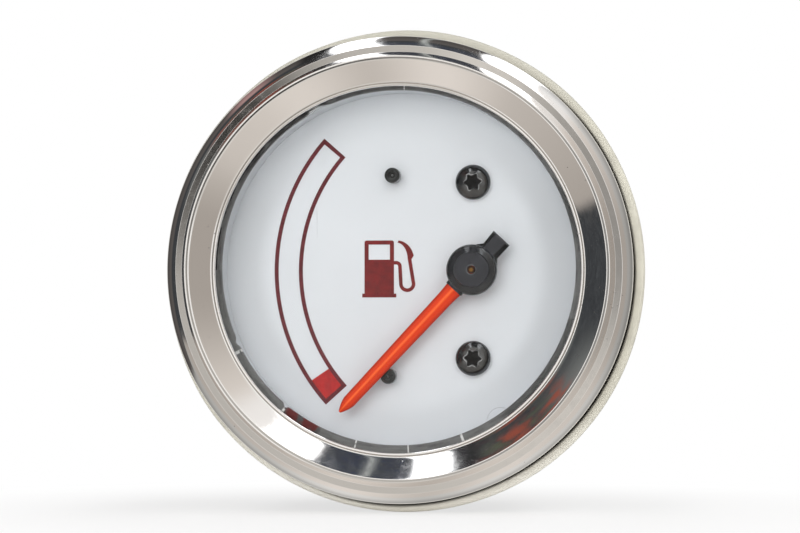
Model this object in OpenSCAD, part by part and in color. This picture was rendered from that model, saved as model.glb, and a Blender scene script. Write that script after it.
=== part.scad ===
// Fuel gauge for a 52 mm panel hole, with a pressed bezel and a crossed-coil movement.
// Every shape is drawn facing the viewer along +Z, then front() turns it to face -Y with +Z up.
// The origin is on the bezel's axis, in the plane of the panel's front surface.

/* [Case] */
// Diameter of the barrel that goes through the panel
barrel_d = 52; // [50:0.5:56]
// Depth of the case behind the panel's front surface
case_depth = 30; // [28:0.5:45]
// Wall of the barrel behind the dial
case_wall = 2.3; // [1.6:0.1:2.6]
// Thickness of the rear wall
rear_wall = 2; // [1.5:0.1:3]
// Thickness of the flange that the bezel is rolled round
flange_t = 1.6; // [1.2:0.1:2.2]
// Width of the ledge that carries the dial
ledge_w = 0.6; // [0.4:0.05:1]
// Wall round the lens
rim_wall = 1; // [0.8:0.05:1.1]
// Height of the wall round the lens, over the gasket's seat
rim_h = 2; // [1:0.1:2.2]
// Rise of the barrel's radius where the panel gasket sits on it
seat_rise = 0.3; // [0.2:0.05:0.4]
// Chamfer at the barrel's rear edge
barrel_chamfer = 0.5; // [0.2:0.1:1]
// Gap left round parts that drop into the case
drop_gap = 0.1; // [0.05:0.01:0.15]
// Gap left round parts that are pressed or screwed in
press_gap = 0.02; // [0.01:0.005:0.04]

/* [Panel gasket] */
// Thickness of the gasket between the panel and the bezel
gasket_t = 1.9; // [1.4:0.1:3]
// How far the gasket shows outside the bezel
gasket_show = 1.2; // [0.8:0.1:2]
// Radius of the gasket's outer corners
gasket_round = 0.65; // [0.3:0.05:0.7]
// How far the gasket lies to the right of the axis
gasket_right = 0.4; // [0:0.05:0.5]
// How far the gasket lies above the axis
gasket_up = -0.1; // [-0.3:0.05:0.3]
// Width of the gasket's step inside the bezel's rolled edge
gasket_step_gap = 0.15; // [0.1:0.05:0.3]

/* [Bezel] */
// How far the bezel reaches outside the barrel
bezel_over = 4; // [3.8:0.05:5]
// Thickness of the bezel's sheet
bezel_t = 0.6; // [0.5:0.05:0.7]
// Width of the edge rolled behind the flange
roll_w = 1.8; // [1.4:0.1:2]
// Radius of the rolled corner
roll_round = 0.7; // [0.65:0.05:0.9]
// Width of the rounded shoulder
shoulder_w = 1.4; // [1.2:0.05:1.5]
// Height of the rounded shoulder
shoulder_h = 2.05; // [1.4:0.05:2.2]
// Width of the flat land inside the shoulder
land_w = 1; // [0.8:0.05:1.1]
// Drop from the crest to the land
riser_h = 2.05; // [1.6:0.05:2.3]
// Width of the riser between the land and the crest
riser_w = 0.4; // [0.3:0.05:0.5]
// Radius of the crest
crest_round = 0.3; // [0.25:0.05:0.4]
// Height of the crest over the front of the lens
crest_h = 2.2; // [1.9:0.05:2.6]
// Height of the rolled lip over the lens
lip_h = 0.65; // [0.5:0.05:0.8]
// Width of the rolled lip
lip_w = 0.6; // [0.5:0.05:0.7]

/* [Lens and dial] */
// Thickness of the lens
lens_t = 1.8; // [1.4:0.1:2.4]
// How far the lens reaches outside the dial's edge
lens_lap = 1.3; // [1.1:0.05:1.4]
// Chamfer on the lens's edges
lens_chamfer = 0.2; // [0.1:0.05:0.3]
// Thickness of the lens gasket
lens_gasket_t = 0.6; // [0.4:0.05:0.9]
// How far the lens gasket shows inside the bezel's lip
lens_gasket_show = 0.65; // [0.5:0.05:0.9]
// How far the lens gasket reaches inside the spacer
lens_gasket_lip = 0.2; // [0.1:0.05:0.4]
// Wall of the ring between the dial and the lens gasket
spacer_wall = 1.3; // [1:0.05:1.6]
// Height of that ring
spacer_h = 4.8; // [4.6:0.05:6]
// Thickness of the dial
dial_t = 0.6; // [0.4:0.05:1]
// Distance of the dial's face behind the panel's front surface
dial_back = 0.4; // [0.2:0.05:1]
// Thickness of the printed ink
ink_t = 0.05; // [0.03:0.01:0.08]

/* [Scale and sign] */
// Radius of the scale's outer edge, about the pivot
scale_out_r = 25.95; // [25.5:0.05:26.2]
// Width of the scale's band
band_w = 3.7; // [3:0.05:4.5]
// Width of the scale's lines
line_w = 0.52; // [0.3:0.02:0.7]
// Direction of the full end of the scale
scale_full_a = 138.5; // [137:0.1:140]
// Direction of the empty end of the scale
scale_empty_a = 222.2; // [221:0.1:223]
// Direction where the reserve block starts
reserve_a = 214.1; // [210:0.1:217]
// Distance of the pump sign's left edge from the pivot
pump_left = 14.17; // [13.6:0.01:14.6]
// Height of the pump's foot under the pivot
pump_foot = 3.5; // [3:0.01:4]
// Width of the pump's body
pump_w = 3.84; // [3.4:0.02:4]
// Height of the pump over its foot's underside
pump_h = 7.4; // [6.6:0.05:8]
// Radius of the pump's upper corners
pump_round = 0.28; // [0.2:0.02:0.5]
// Frame left round the pump's window
pump_frame = 0.53; // [0.4:0.02:0.7]
// Height of the pump's window
window_h = 1.97; // [1.5:0.05:2.4]
// Height of the pump's foot
foot_h = 0.5; // [0.4:0.02:0.7]
// How far the foot reaches on each side
foot_out = 0.3; // [0.1:0.02:0.5]
// Width of the hose's line
hose_w = 0.46; // [0.36:0.02:0.56]
// Drop of the hose from its outlet to its bend
hose_drop = 2.28; // [2:0.02:2.5]
// Radius of the hose's bend
hose_bend_r = 0.83; // [0.7:0.01:0.95]

/* [Pointer] */
// Distance of the pivot to the right of the bezel's axis
pivot_right = 9.2; // [8.6:0.05:9.8]
// Length of the needle from the pivot to its tip
needle_len = 25.1; // [24:0.1:25.6]
// Width of the needle where its pointed end starts
needle_w = 1.7; // [1.5:0.02:1.9]
// Width that the needle's taper reaches at the hub
needle_base_w = 2.14; // [1.9:0.02:2.2]
// Width of the needle's flared root where it leaves the hub
needle_root_w = 2.3; // [2.2:0.02:2.5]
// Length of the flare at the root
flare_len = 2.2; // [1:0.1:4]
// Length of the pointed end
point_len = 1.9; // [1.2:0.1:3]
// Half width of the needle's rounded tip
tip_half = 0.14; // [0.08:0.01:0.2]
// Height of the needle's ridge over its edges
ridge_h = 0.32; // [0.15:0.01:0.4]
// Thickness of the needle's edges
needle_edge_t = 0.38; // [0.3:0.01:0.5]
// Thickness of the web under the needle
web_t = 0.7; // [0.6:0.02:1]
// Depth of the web under the needle
web_h = 0.8; // [0.6:0.05:0.9]
// Height of the web's underside over the dial
web_over_dial = 1.8; // [1.7:0.05:2.2]
// Diameter of the hub
hub_d = 6.8; // [6.4:0.05:7.2]
// Diameter of the raised disc on the hub
hub_disc_d = 4.2; // [3.8:0.05:4.6]
// Height of the hub's top over the needle's edges
hub_over_needle = 1.3; // [1.1:0.05:1.5]
// Reach of the hub's collar along the needle
collar_len = 3.43; // [3.3:0.01:3.6]
// Length of the tail from the pivot
tail_len = 5.5; // [5:0.1:6]
// Width of the tail at its end
tail_w = 2.7; // [2.3:0.05:2.9]
// Width of the tail's flat top
tail_top_w = 1.5; // [1.2:0.05:1.8]
// Diameter of the arbor
arbor_d = 0.9; // [0.8:0.02:1.1]
// Radial running clearance of the arbor in its bearings
run_gap = 0.03; // [0.02:0.005:0.05]

/* [Stops and dial screws] */
// Diameter of the stop pins
stop_d = 2; // [1.8:0.05:2.2]
// Distance of the lower stop pin from the pivot
low_stop_r = 17.5; // [16.5:0.1:18.5]
// Direction of the lower stop pin from the pivot
low_stop_a = 231.5; // [230:0.1:233]
// Distance of the upper stop pin from the pivot
high_stop_r = 16.05; // [15:0.1:17]
// Direction of the upper stop pin from the pivot
high_stop_a = 130.2; // [128:0.1:132]
// Clearance between the needle's web and a stop pin at the end of the travel
stop_gap = 0.06; // [0.04:0.01:0.1]
// Diameter of the stop pins' stems
stem_d = 1.2; // [1:0.05:1.4]
// Distance of each dial screw from the pivot
screw_reach = 11.4; // [11.2:0.05:12]
// Diameter of the dial screws' heads
screw_head_d = 4.55; // [4:0.05:5]
// Height of the dial screws' heads
screw_head_h = 1.5; // [1.2:0.05:1.7]
// Thread diameter of the dial screws
screw_d = 2.5; // [2.2:0.1:2.6]
// Length of the dial screws under the head
screw_len = 6; // [5:0.5:7]
// Width of the six-lobe recess over its lobes
recess_d = 2.38; // [2:0.02:2.5]
// Depth of the recess
recess_h = 0.9; // [0.6:0.05:1]

/* [Movement] */
// Thickness of the movement frame's plate
frame_t = 1.6; // [1.2:0.1:2]
// Half the height of the movement between the frame and the can's floor
mov_half_h = 6.2; // [5.8:0.1:7]
// Half the height of the bobbins' core
core_half_h = 3.2; // [3:0.05:3.4]
// Half the width of the core across the windings
core_half_w = 5; // [4.9:0.05:5.2]
// Radius of the bobbins' corner posts
post_r = 7.4; // [7.3:0.05:7.6]
// Thickness of each winding
coil_t = 0.9; // [0.6:0.05:1]
// Width of each winding
coil_w = 6.8; // [6:0.1:7]
// Gap beside the windings
coil_gap = 0.03; // [0.02:0.01:0.08]
// Diameter of the rotor magnet
rotor_d = 7.8; // [7:0.1:8]
// Thickness of the rotor magnet
rotor_t = 3.6; // [3:0.1:3.8]
// Gap round the rotor in its chamber
chamber_gap = 0.4; // [0.3:0.05:0.45]
// Diameter of the front bobbin's bearing tower
tower_d = 3; // [2.8:0.1:3.2]
// Outside diameter of the front bearing
bearing_d = 2; // [1.8:0.05:2.1]
// Length of the front bearing
bearing_len = 3; // [2:0.1:4]
// Sheet thickness of the shield can
can_t = 0.5; // [0.4:0.05:0.6]
// Wall of the frame's pocket round the can
pocket_wall = 1.4; // [1:0.1:1.6]
// Depth of the frame's pocket
pocket_depth = 5; // [3:0.5:8]
// Diameter of the coil pins
coil_pin_d = 0.7; // [0.6:0.05:0.8]
// Distance of each coil pin from the pivot, across and up
coil_pin_out = 4.5; // [4.3:0.05:4.7]

/* [Board] */
// Thickness of the circuit board
board_t = 1.6; // [1.2:0.1:2]
// Gap from the case's bore to the board's edge
board_gap = 1.2; // [0.8:0.1:1.8]
// Distance from the case's bore to the middle of the pillars
pillar_in = 3.3; // [3.1:0.1:3.8]
// Diameter of the frame's pillars
pillar_d = 3.8; // [3.4:0.1:4]
// Thread diameter of the board screws
board_screw_d = 2.2; // [2:0.1:2.4]
// Length of a ballast resistor's body
resistor_len = 6.3; // [5.5:0.1:7]
// Diameter of a ballast resistor's body
resistor_d = 2.3; // [2:0.1:2.6]
// Distance of each resistor above or below the axis
resistor_out = 9; // [8:0.5:11]
// Diameter of the component leads
lead_d = 0.6; // [0.5:0.05:0.7]

/* [Terminals and studs] */
// Width of the blade terminals
blade_w = 6.3; // [6:0.1:6.4]
// Thickness of the blade terminals
blade_t = 0.8; // [0.7:0.05:0.9]
// Length of the blades behind the case
blade_len = 8; // [7:0.5:10]
// Distance of the blades inside the barrel's right side
blade_in = 13.5; // [13:0.1:14]
// Distance between the middles of neighbouring blades
blade_pitch = 10; // [9.8:0.1:10.4]
// Width of the blades' inner legs
leg_w = 2.2; // [1.8:0.1:2.6]
// Thread diameter of the mounting studs
stud_d = 4; // [3.5:0.1:4.5]
// Distance of each stud inside the barrel's side
stud_in = 9; // [8.5:0.25:10]
// Length of the studs behind the case
stud_len = 16; // [14:0.5:20]
// Thickness of the stud nuts
nut_t = 3.2; // [2.4:0.1:3.6]
// Width of the stud nuts across the flats
nut_w = 7; // [6.8:0.1:7.4]
// Thickness of the stud washers
washer_t = 0.8; // [0.6:0.1:1]
// Outside diameter of the stud washers
washer_d = 9; // [8.4:0.1:9.6]

/* [Lamp] */
// Distance of the lamp's middle inside the barrel's left side
lamp_in = 13.5; // [13:0.1:14]
// Diameter of the lamp's hole in the rear wall
lamp_hole_d = 12; // [11.5:0.1:12.4]
// Radial gap between the lamp holder and its hole
lamp_gap = 0.05; // [0.03:0.01:0.08]
// Depth of the holder inside the rear wall
holder_in = 3; // [2:0.1:3.5]
// Thickness of the holder's flange
holder_flange_t = 1.4; // [1:0.1:1.8]
// Length of the holder's grip behind its flange
grip_len = 4; // [3:0.1:6]
// Diameter of the bulb's glass
bulb_d = 4.8; // [4.4:0.1:5]
// Length of the bulb in front of the holder
bulb_out = 12; // [9:0.5:12.5]

/* [Hidden] */
$fn = 96;

// Radii of the case, the dial and the lens, from the barrel inward and outward
barrel_r = barrel_d / 2;
bore_r = barrel_r - case_wall;
dial_r = bore_r + ledge_w;
rim_r = dial_r + drop_gap;
spacer_in_r = dial_r - spacer_wall;
lens_r = dial_r + lens_lap;
lens_pocket_r = lens_r + 1.5 * drop_gap;
rim_out_r = lens_pocket_r + rim_wall;
lens_gasket_in_r = spacer_in_r - lens_gasket_lip;
lip_r = lens_gasket_in_r + lens_gasket_show;

// Heights towards the viewer, from the panel's front surface
flange_z = gasket_t + bezel_t;
flange_top_z = flange_z + flange_t;
dial_z = -dial_back;
dial_rear_z = dial_z - dial_t;
frame_rear_z = dial_rear_z - frame_t;
spacer_top_z = dial_z + spacer_h;
lens_z = spacer_top_z + lens_gasket_t;
lens_front_z = lens_z + lens_t;
rear_in_z = -case_depth + rear_wall;
mov_z = frame_rear_z - mov_half_h;
can_floor_z = mov_z - mov_half_h - can_t;
board_rear_z = can_floor_z - board_t;

// Bezel outline
bezel_r = barrel_r + bezel_over;
flange_r = bezel_r - bezel_t - drop_gap;
roll_r = bezel_r - roll_w;
land_out_r = bezel_r - shoulder_w;
riser_r = land_out_r - land_w;
crest_out_r = riser_r - riser_w;
crest_r = crest_out_r - crest_round;
crest_z = lens_front_z + crest_h;
land_z = crest_z - riser_h;
lip_z = lens_front_z + lip_h;
lip_out_r = lip_r + lip_w;
panel_gasket_r = bezel_r + gasket_show;
gasket_off = sqrt(pow(gasket_right, 2) + pow(gasket_up, 2));
seat_r = barrel_r + seat_rise;
gasket_bore_r = seat_r + gasket_off + drop_gap;
gasket_step_r = roll_r - gasket_off - gasket_step_gap;

// Pointer
arbor_r = arbor_d / 2;
hub_r = hub_d / 2;
web_z = dial_z + web_over_dial;
needle_z = web_z + web_h;
needle_edge_z = needle_z + needle_edge_t;
ridge_z = needle_edge_z + ridge_h;
hub_top_z = needle_edge_z + hub_over_needle;
lobe_r = 0.11 * recess_d;
hub_low_z = web_z + drop_gap;
hub_wall = 1;
hub_slope = 0.6;
hub_bevel = 0.3;
hub_step = 0.25;
hub_rim_z = hub_top_z - hub_slope;
tail_z = hub_rim_z - hub_step;
tail_bevel = 0.5;
collar_wall = 0.12;
root_r = hub_r - hub_wall;
root_top_z = needle_z + needle_edge_t / 2;
root_half_w = needle_root_w / 2;
stop_r = stop_d / 2;
stop_drop = 0.15;
stop_edge = 0.25;
stop_top_z = needle_z - stop_drop;
low_stop_turn = asin((stop_r + web_t / 2 + stop_gap) / low_stop_r);
needle_a = low_stop_a - low_stop_turn;

// Movement and board
can_r = post_r + press_gap;
can_out_r = can_r + can_t;
pocket_r = can_out_r + press_gap;
chamber_r = rotor_d / 2 + chamber_gap;
chamber_half_h = rotor_t / 2 + chamber_gap;
tower_top_z = dial_rear_z - drop_gap;
foot_in = 0.5;
foot_z = mov_z - chamber_half_h - foot_in;
boss_wall = 1;
boss_r = screw_d / 2 + boss_wall;
thread_room = 0.5;
pin_grip = 2;
pin_out = 1;
board_r = bore_r - board_gap;
pillar_r = bore_r - pillar_in;
pillar_angles = [80, 180, 280];
board_screw_len = 8;
component_z = board_rear_z - resistor_d / 2 - drop_gap;
lead_out = 1.2;
lead_reach = resistor_len / 2 + lead_out;

// Scale and sign
scale_in_r = scale_out_r - band_w;
scale_inset_a = line_w / (scale_out_r - band_w / 2) * 180 / PI;
hose_corner_r = 0.46;
hose_stub = 0.32;
hose_lean = 0.12;
nozzle_h = 2.5;

// Terminals, studs and lamp
blade_right = barrel_r - blade_in;
blade_hole_r = 0.8;
blade_hole_in = 2.6;
blade_nose = 1.2;
blade_bar_h = 1;
blade_bar_out = 0.8;
slot_wall = 1.2;
slot_boss_h = 1.2;
stud_out = barrel_r - stud_in;
stud_head_t = 2;
stud_head_w = 6.5;
stud_chamfer = 0.5;
stud_groove = 0.3;
lamp_left = barrel_r - lamp_in;
lamp_clear = 3;
light_window_r = 5;
wire_r = 0.15;
wire_out = 1;
bulb_glass_t = 0.4;
bulb_floor = 1;
wedge_t = 1.9;
contact_t = 0.5;
contact_w = 2.4;
contact_out = 5;
holder_front_z = holder_in - case_depth;
holder_flange_w = 1.2;
socket_step = 1.5;
socket_h = 6.5;
socket_z = holder_front_z - socket_h;
bulb_low_z = holder_front_z - socket_step;

// Turns a shape drawn towards the viewer so that it faces -Y
module front() {
    rotate([90, 0, 0]) children();
}

// Places a shape on the pointer's pivot
module at_pivot() {
    translate([pivot_right, 0, 0]) children();
}

// Places a shape at a distance and direction from the pivot
module at_stop(reach, direction) {
    at_pivot() rotate([0, 0, direction]) translate([reach, 0, 0]) children();
}

// Places a copy on each of the frame's pillars
module at_pillars() {
    for (a = pillar_angles) rotate([0, 0, a]) translate([pillar_r, 0, 0]) children();
}

// Places a copy at each blade terminal
module at_blades() {
    for (i = [-1, 0, 1]) translate([blade_right, i * blade_pitch, 0]) children();
}

// Places a copy at each mounting stud
module at_studs() {
    for (side = [-1, 1]) translate([0, side * stud_out, 0]) children();
}

// Cylinder between two heights
module rod(r, low, high) {
    translate([0, 0, low]) cylinder(r = r, h = high - low);
}

// Tube between two heights
module tube(r_out, r_in, low, high) {
    difference() {
        rod(r_out, low, high);
        rod(r_in, low - 1, high + 1);
    }
}

// Box with its middle on the axis, between two heights
module post(x, y, low, high) {
    translate([-x / 2, -y / 2, low]) cube([x, y, high - low]);
}

// Points of an elliptical arc with half axes rx and ry
function arc(cx, cy, rx, ry, from, to, steps) =
    [for (i = [0:steps]) let (a = from + (to - from) * i / steps) [cx + rx * cos(a), cy + ry * sin(a)]];

// Sector of a flat ring between two directions under 180 degrees apart
module sector(r_in, r_out, from, to) {
    reach = 2 * r_out;
    intersection() {
        difference() {
            circle(r = r_out, $fn = 240);
            circle(r = r_in, $fn = 240);
        }
        polygon([[0, 0], for (i = [0:4]) let (a = from + (to - from) * i / 4) reach * [cos(a), sin(a)]]);
    }
}

// Flat line of one width through a list of points, with round joints
module stroke(points, width) {
    for (p = points) translate(p) circle(r = width / 2, $fn = 24);
    for (i = [0:len(points) - 2]) {
        run = points[i + 1] - points[i];
        translate(points[i]) rotate(atan2(run.y, run.x)) translate([0, -width / 2])
            square([norm(run), width]);
    }
}

// Pressed ring: the outside from the rolled edge over the crest to the lip, then back along the inside
module bezel() {
    wall_top_z = land_z - shoulder_h;
    in_r = bezel_r - bezel_t;
    outside = concat(
        [[roll_r, gasket_t]],
        arc(bezel_r - roll_round, gasket_t + roll_round, roll_round, roll_round, -90, 0, 6),
        arc(land_out_r, wall_top_z, shoulder_w, shoulder_h, 0, 90, 16),
        [[riser_r, land_z]],
        arc(crest_r, crest_z - crest_round, crest_round, crest_round, 10, 118, 8),
        [[lip_out_r + lip_w / 12, lip_z - lip_w / 6]],
        arc(lip_r + lip_w / 2, lip_z - lip_w / 2, lip_w / 2, lip_w / 2, 60, 180, 6)
    );
    inside = concat(
        [[lip_r, lens_front_z], [lens_r - bezel_t, lens_front_z]],
        [[lens_r - bezel_t, lens_front_z + bezel_t / 4], [crest_r - bezel_t / 6, crest_z - 1.25 * bezel_t]],
        [[crest_out_r - 0.6 * bezel_t, crest_z - 1.4 * bezel_t], [riser_r - bezel_t, land_z - bezel_t]],
        [[land_out_r, land_z - bezel_t]],
        arc(land_out_r, wall_top_z, shoulder_w - bezel_t, shoulder_h - bezel_t, 78, 0, 10),
        [[in_r, flange_z], [roll_r, flange_z]]
    );
    color([0.80, 0.79, 0.77]) front() rotate_extrude($fn = 180) polygon(concat(outside, inside));
}

// Flat glass with chamfered edges
module lens() {
    c = lens_chamfer;
    color([0.90, 0.94, 0.95, 0.35]) front() rotate_extrude($fn = 180)
        polygon([[0, lens_z], [lens_r - c, lens_z], [lens_r, lens_z + c],
            [lens_r, lens_front_z - c], [lens_r - c, lens_front_z], [0, lens_front_z]]);
}

// Dark ring behind the glass
module lens_gasket() {
    color([0.33, 0.33, 0.34]) front() tube(lens_r, lens_gasket_in_r, spacer_top_z, lens_z);
}

// White ring that stands on the dial
module dial_spacer() {
    color([0.88, 0.89, 0.90]) front() tube(dial_r, spacer_in_r, dial_z, spacer_top_z);
}

// Painted dial with holes for the arbor, the screws and the stop pins
module dial_plate() {
    color([0.84, 0.86, 0.87]) front() difference() {
        rod(dial_r, dial_rear_z, dial_z);
        at_pivot() rod(bearing_d / 2 + drop_gap, dial_rear_z - 1, dial_z + 1);
        for (side = [-1, 1]) at_pivot() translate([0, side * screw_reach, 0])
            rod(screw_d / 2 + drop_gap, dial_rear_z - 1, dial_z + 1);
        stop_holes(dial_rear_z - 1, dial_z + 1);
    }
}

// Holes for both stop pins' stems
module stop_holes(low, high) {
    at_stop(low_stop_r, low_stop_a) rod(stem_d / 2 + press_gap, low, high);
    at_stop(high_stop_r, high_stop_a) rod(stem_d / 2 + press_gap, low, high);
}

// Outline of the scale's band
module scale_print() {
    color([0.44, 0.18, 0.22]) front() at_pivot() translate([0, 0, dial_z]) linear_extrude(ink_t)
        difference() {
            sector(scale_in_r, scale_out_r, scale_full_a, scale_empty_a);
            sector(scale_in_r + line_w, scale_out_r - line_w, scale_full_a + scale_inset_a,
                scale_empty_a - scale_inset_a);
        }
}

// Red block that fills the band's low end inside its outline
module reserve_print() {
    color([0.70, 0.18, 0.18]) front() at_pivot() translate([0, 0, dial_z]) linear_extrude(ink_t)
        sector(scale_in_r + line_w, scale_out_r - line_w, reserve_a, scale_empty_a - scale_inset_a);
}

// Filling-pump sign: body with a window, foot, hose and nozzle
module pump_print() {
    n = nozzle_h;
    outlet = [pump_w + hose_stub, foot_h + 0.58 * (pump_h - foot_h)];
    bend = [outlet.x + hose_corner_r + hose_bend_r + hose_lean, outlet.y - hose_corner_r - hose_drop];
    grip = bend + n * [-0.548, 1.264];
    hose = concat(
        [[pump_w - hose_stub / 2, outlet.y]],
        arc(outlet.x, outlet.y - hose_corner_r, hose_corner_r, hose_corner_r, 90, 0, 6),
        arc(bend.x, bend.y, hose_bend_r, hose_bend_r, 180, 360, 14),
        [grip + n * [0.668, 0.04]]
    );
    color([0.49, 0.18, 0.18]) front() at_pivot() translate([-pump_left, -pump_foot, dial_z])
        linear_extrude(ink_t) {
            difference() {
                union() {
                    translate([0, foot_h / 2]) square([pump_w, pump_h - foot_h / 2 - pump_round]);
                    translate([pump_round, pump_h - 2 * pump_round])
                        square([pump_w - 2 * pump_round, 2 * pump_round]);
                    for (x = [pump_round, pump_w - pump_round])
                        translate([x, pump_h - pump_round]) circle(r = pump_round, $fn = 32);
                }
                translate([pump_frame, pump_h - pump_frame - window_h])
                    square([pump_w - 2 * pump_frame, window_h]);
            }
            translate([-foot_out, 0]) square([pump_w + 2 * foot_out, foot_h]);
            stroke(hose, hose_w);
            polygon(concat(
                [grip + n * [0.768, 0.02], grip + n * [0.888, 0.2]],
                arc(grip.x, grip.y, 0.9 * n, n, 18, 84, 7),
                arc(grip.x, grip.y, 0.572 * n, 0.88 * n, 86, 0, 7)
            ));
        }
}

// Six-lobe recess, open towards the viewer
module recess(high) {
    rod(recess_d / 2 - 1.5 * lobe_r, high - recess_h, high + 1);
    for (i = [0:5]) rotate([0, 0, 60 * i + 8]) translate([recess_d / 2 - lobe_r, 0, 0])
        rod(lobe_r, high - recess_h, high + 1);
}

// Two screws with domed heads that hold the dial to the frame
module dial_screws() {
    head_r = screw_head_d / 2;
    side_h = screw_head_h * 0.4;
    top = dial_z + screw_head_h;
    color([0.17, 0.17, 0.18]) front() at_pivot() for (side = [-1, 1])
        translate([0, side * screw_reach, 0]) difference() {
            rotate_extrude($fn = 64) polygon(concat(
                [[0, dial_z - screw_len], [screw_d / 3, dial_z - screw_len]],
                [[screw_d / 2, dial_z - screw_len + screw_d / 4], [screw_d / 2, dial_z], [head_r, dial_z]],
                arc(0, dial_z + side_h, head_r, screw_head_h - side_h, 0, 90, 10)
            ));
            recess(top);
        }
}

// Two pegs with stems pushed through the dial into the frame
module stop_pins() {
    color([0.19, 0.20, 0.20]) front() for (p = [[low_stop_r, low_stop_a], [high_stop_r, high_stop_a]])
        at_stop(p[0], p[1]) rotate_extrude($fn = 48) polygon([
            [0, frame_rear_z - stem_d / 3], [stem_d / 3, frame_rear_z - stem_d / 3],
            [stem_d / 2, frame_rear_z - stem_d / 6], [stem_d / 2, dial_z], [stop_r, dial_z],
            [stop_r, stop_top_z - stop_edge], [stop_r - stop_edge, stop_top_z], [stop_r / 2, stop_top_z],
            [stop_r / 3, stop_top_z - stop_r / 5], [0, stop_top_z - stop_r / 5]
        ]);
}

// Half width of the needle at a distance from the pivot: a concave flare, a slow taper and a point
function needle_half(s) =
    let (run = needle_len - point_len - collar_len,
        along = min(1, (s - collar_len) / run),
        flare = max(0, 1 - (s - collar_len) / flare_len),
        point = max(0, (s - needle_len + point_len) / point_len),
        half = (needle_base_w - (needle_base_w - needle_w) * along) / 2
            + (needle_root_w - needle_base_w) / 2 * flare * flare)
    half - (half - tip_half) * pow(point, 1.5);

// Flat outline of the needle along +X
module needle_outline() {
    runs = concat(
        [for (i = [0:6]) collar_len + flare_len * i / 6],
        [for (i = [0:6]) needle_len - point_len + point_len * i / 6]
    );
    polygon(concat(
        [[0, -root_half_w]], [for (s = runs) [s, -needle_half(s)]],
        [for (i = [len(runs) - 1:-1:0]) [runs[i], needle_half(runs[i])]], [[0, root_half_w]]
    ));
}

// Needle with a roof-shaped top, a web under it and a root that fits on the arbor
module pointer_needle() {
    slope = ridge_h / (needle_w / 2);
    color([0.90, 0.27, 0.10]) front() at_pivot() rotate([0, 0, needle_a]) difference() {
        union() {
            intersection() {
                translate([0, 0, needle_z]) linear_extrude(ridge_z) needle_outline();
                rotate([90, 0, 90]) linear_extrude(1.1 * needle_len) polygon([
                    [-root_half_w, needle_z], [root_half_w, needle_z],
                    [root_half_w, ridge_z - slope * root_half_w], [0, ridge_z],
                    [-root_half_w, ridge_z - slope * root_half_w]
                ]);
            }
            translate([0, -web_t / 2, web_z])
                cube([needle_len - 1.3 * point_len, web_t, web_h]);
            rod(root_r, web_z, root_top_z);
        }
        rod(arbor_r, web_z - 1, ridge_z + 1);
    }
}

// Black cap over the needle's root, with a collar along the needle and a counterweight tail
module pointer_hub() {
    disc_r = hub_disc_d / 2;
    tail_half = tail_w / 2;
    waist = [1.24 * hub_r, 0.75 * hub_r];
    waist_h = waist.y - 0.9 * tail_half;
    bevel_x = tail_half - tail_top_w / 2;
    collar_half = root_half_w + collar_wall;
    slot_half = root_half_w + press_gap;
    spread = acos(hub_r / norm([collar_len, collar_half])) + atan2(collar_half, collar_len);
    color([0.16, 0.17, 0.18]) front() at_pivot() rotate([0, 0, needle_a]) difference() {
        union() {
            rotate_extrude($fn = 96) polygon([
                [0, hub_low_z], [hub_r, hub_low_z], [hub_r, hub_rim_z - hub_bevel],
                [hub_r - hub_bevel, hub_rim_z], [disc_r + 0.4 * hub_step, hub_top_z - hub_step],
                [disc_r, hub_top_z - 0.2 * hub_step], [disc_r - 0.2 * hub_step, hub_top_z], [0, hub_top_z]
            ]);
            translate([0, 0, hub_low_z]) linear_extrude(tail_z - hub_low_z) polygon([
                [hub_r * cos(spread), hub_r * sin(spread)], [collar_len, collar_half],
                [collar_len, -collar_half], [hub_r * cos(spread), -hub_r * sin(spread)]
            ]);
            intersection() {
                translate([0, 0, hub_low_z + hub_bevel]) linear_extrude(hub_top_z) polygon(concat(
                    arc(-waist.x, waist.y, hub_r / 2, waist_h, -20, -90, 6),
                    [[-tail_len, tail_half], [-tail_len, -tail_half]],
                    arc(-waist.x, -waist.y, hub_r / 2, waist_h, 90, 20, 6),
                    [[0, -hub_r / 3], [0, hub_r / 3]]
                ));
                rotate([90, 0, -90]) linear_extrude(1.1 * tail_len) polygon([
                    [-tail_half - bevel_x, 0], [tail_half + bevel_x, 0],
                    [tail_half + bevel_x, tail_z - 2 * tail_bevel], [tail_top_w / 2, tail_z],
                    [-tail_top_w / 2, tail_z], [-tail_half - bevel_x, tail_z - 2 * tail_bevel]
                ]);
            }
        }
        rod(root_r + press_gap, 0, root_top_z + press_gap);
        translate([0, 0, needle_z - press_gap]) linear_extrude(ridge_z - needle_z + 2 * press_gap)
            polygon([[0, -slot_half], [tail_len, -slot_half], [tail_len, slot_half], [0, slot_half]]);
        translate([0, -web_t / 2 - press_gap, 0]) cube([tail_len, web_t + 2 * press_gap, needle_z]);
        rod(arbor_r + drop_gap, 0, 2 * hub_top_z);
    }
}

// Spindle from the rear bearing to the hub's top
module arbor() {
    color([0.72, 0.56, 0.28]) front() at_pivot() rod(arbor_r, foot_z + run_gap, hub_top_z - drop_gap);
}

// Disc magnet on the arbor
module rotor_magnet() {
    color([0.30, 0.30, 0.32]) front() at_pivot()
        tube(rotor_d / 2, arbor_r, mov_z - rotor_t / 2, mov_z + rotor_t / 2);
}

// Half of the former, drawn upward from the rotor's mid plane: core, winding channels and corner posts
module bobbin_half() {
    channel = coil_w + 2 * coil_gap;
    span = 4 * post_r;
    difference() {
        rod(post_r, 0, mov_half_h);
        post(span, channel, core_half_h, mov_half_h + 1);
        post(channel, span, core_half_h, mov_half_h + 1);
        for (turn = [0, 90, 180, 270]) rotate([0, 0, turn])
            translate([core_half_w, -channel / 2, -1]) cube([post_r, channel, mov_half_h + 2]);
        rod(chamber_r, -1, chamber_half_h);
    }
}

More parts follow.
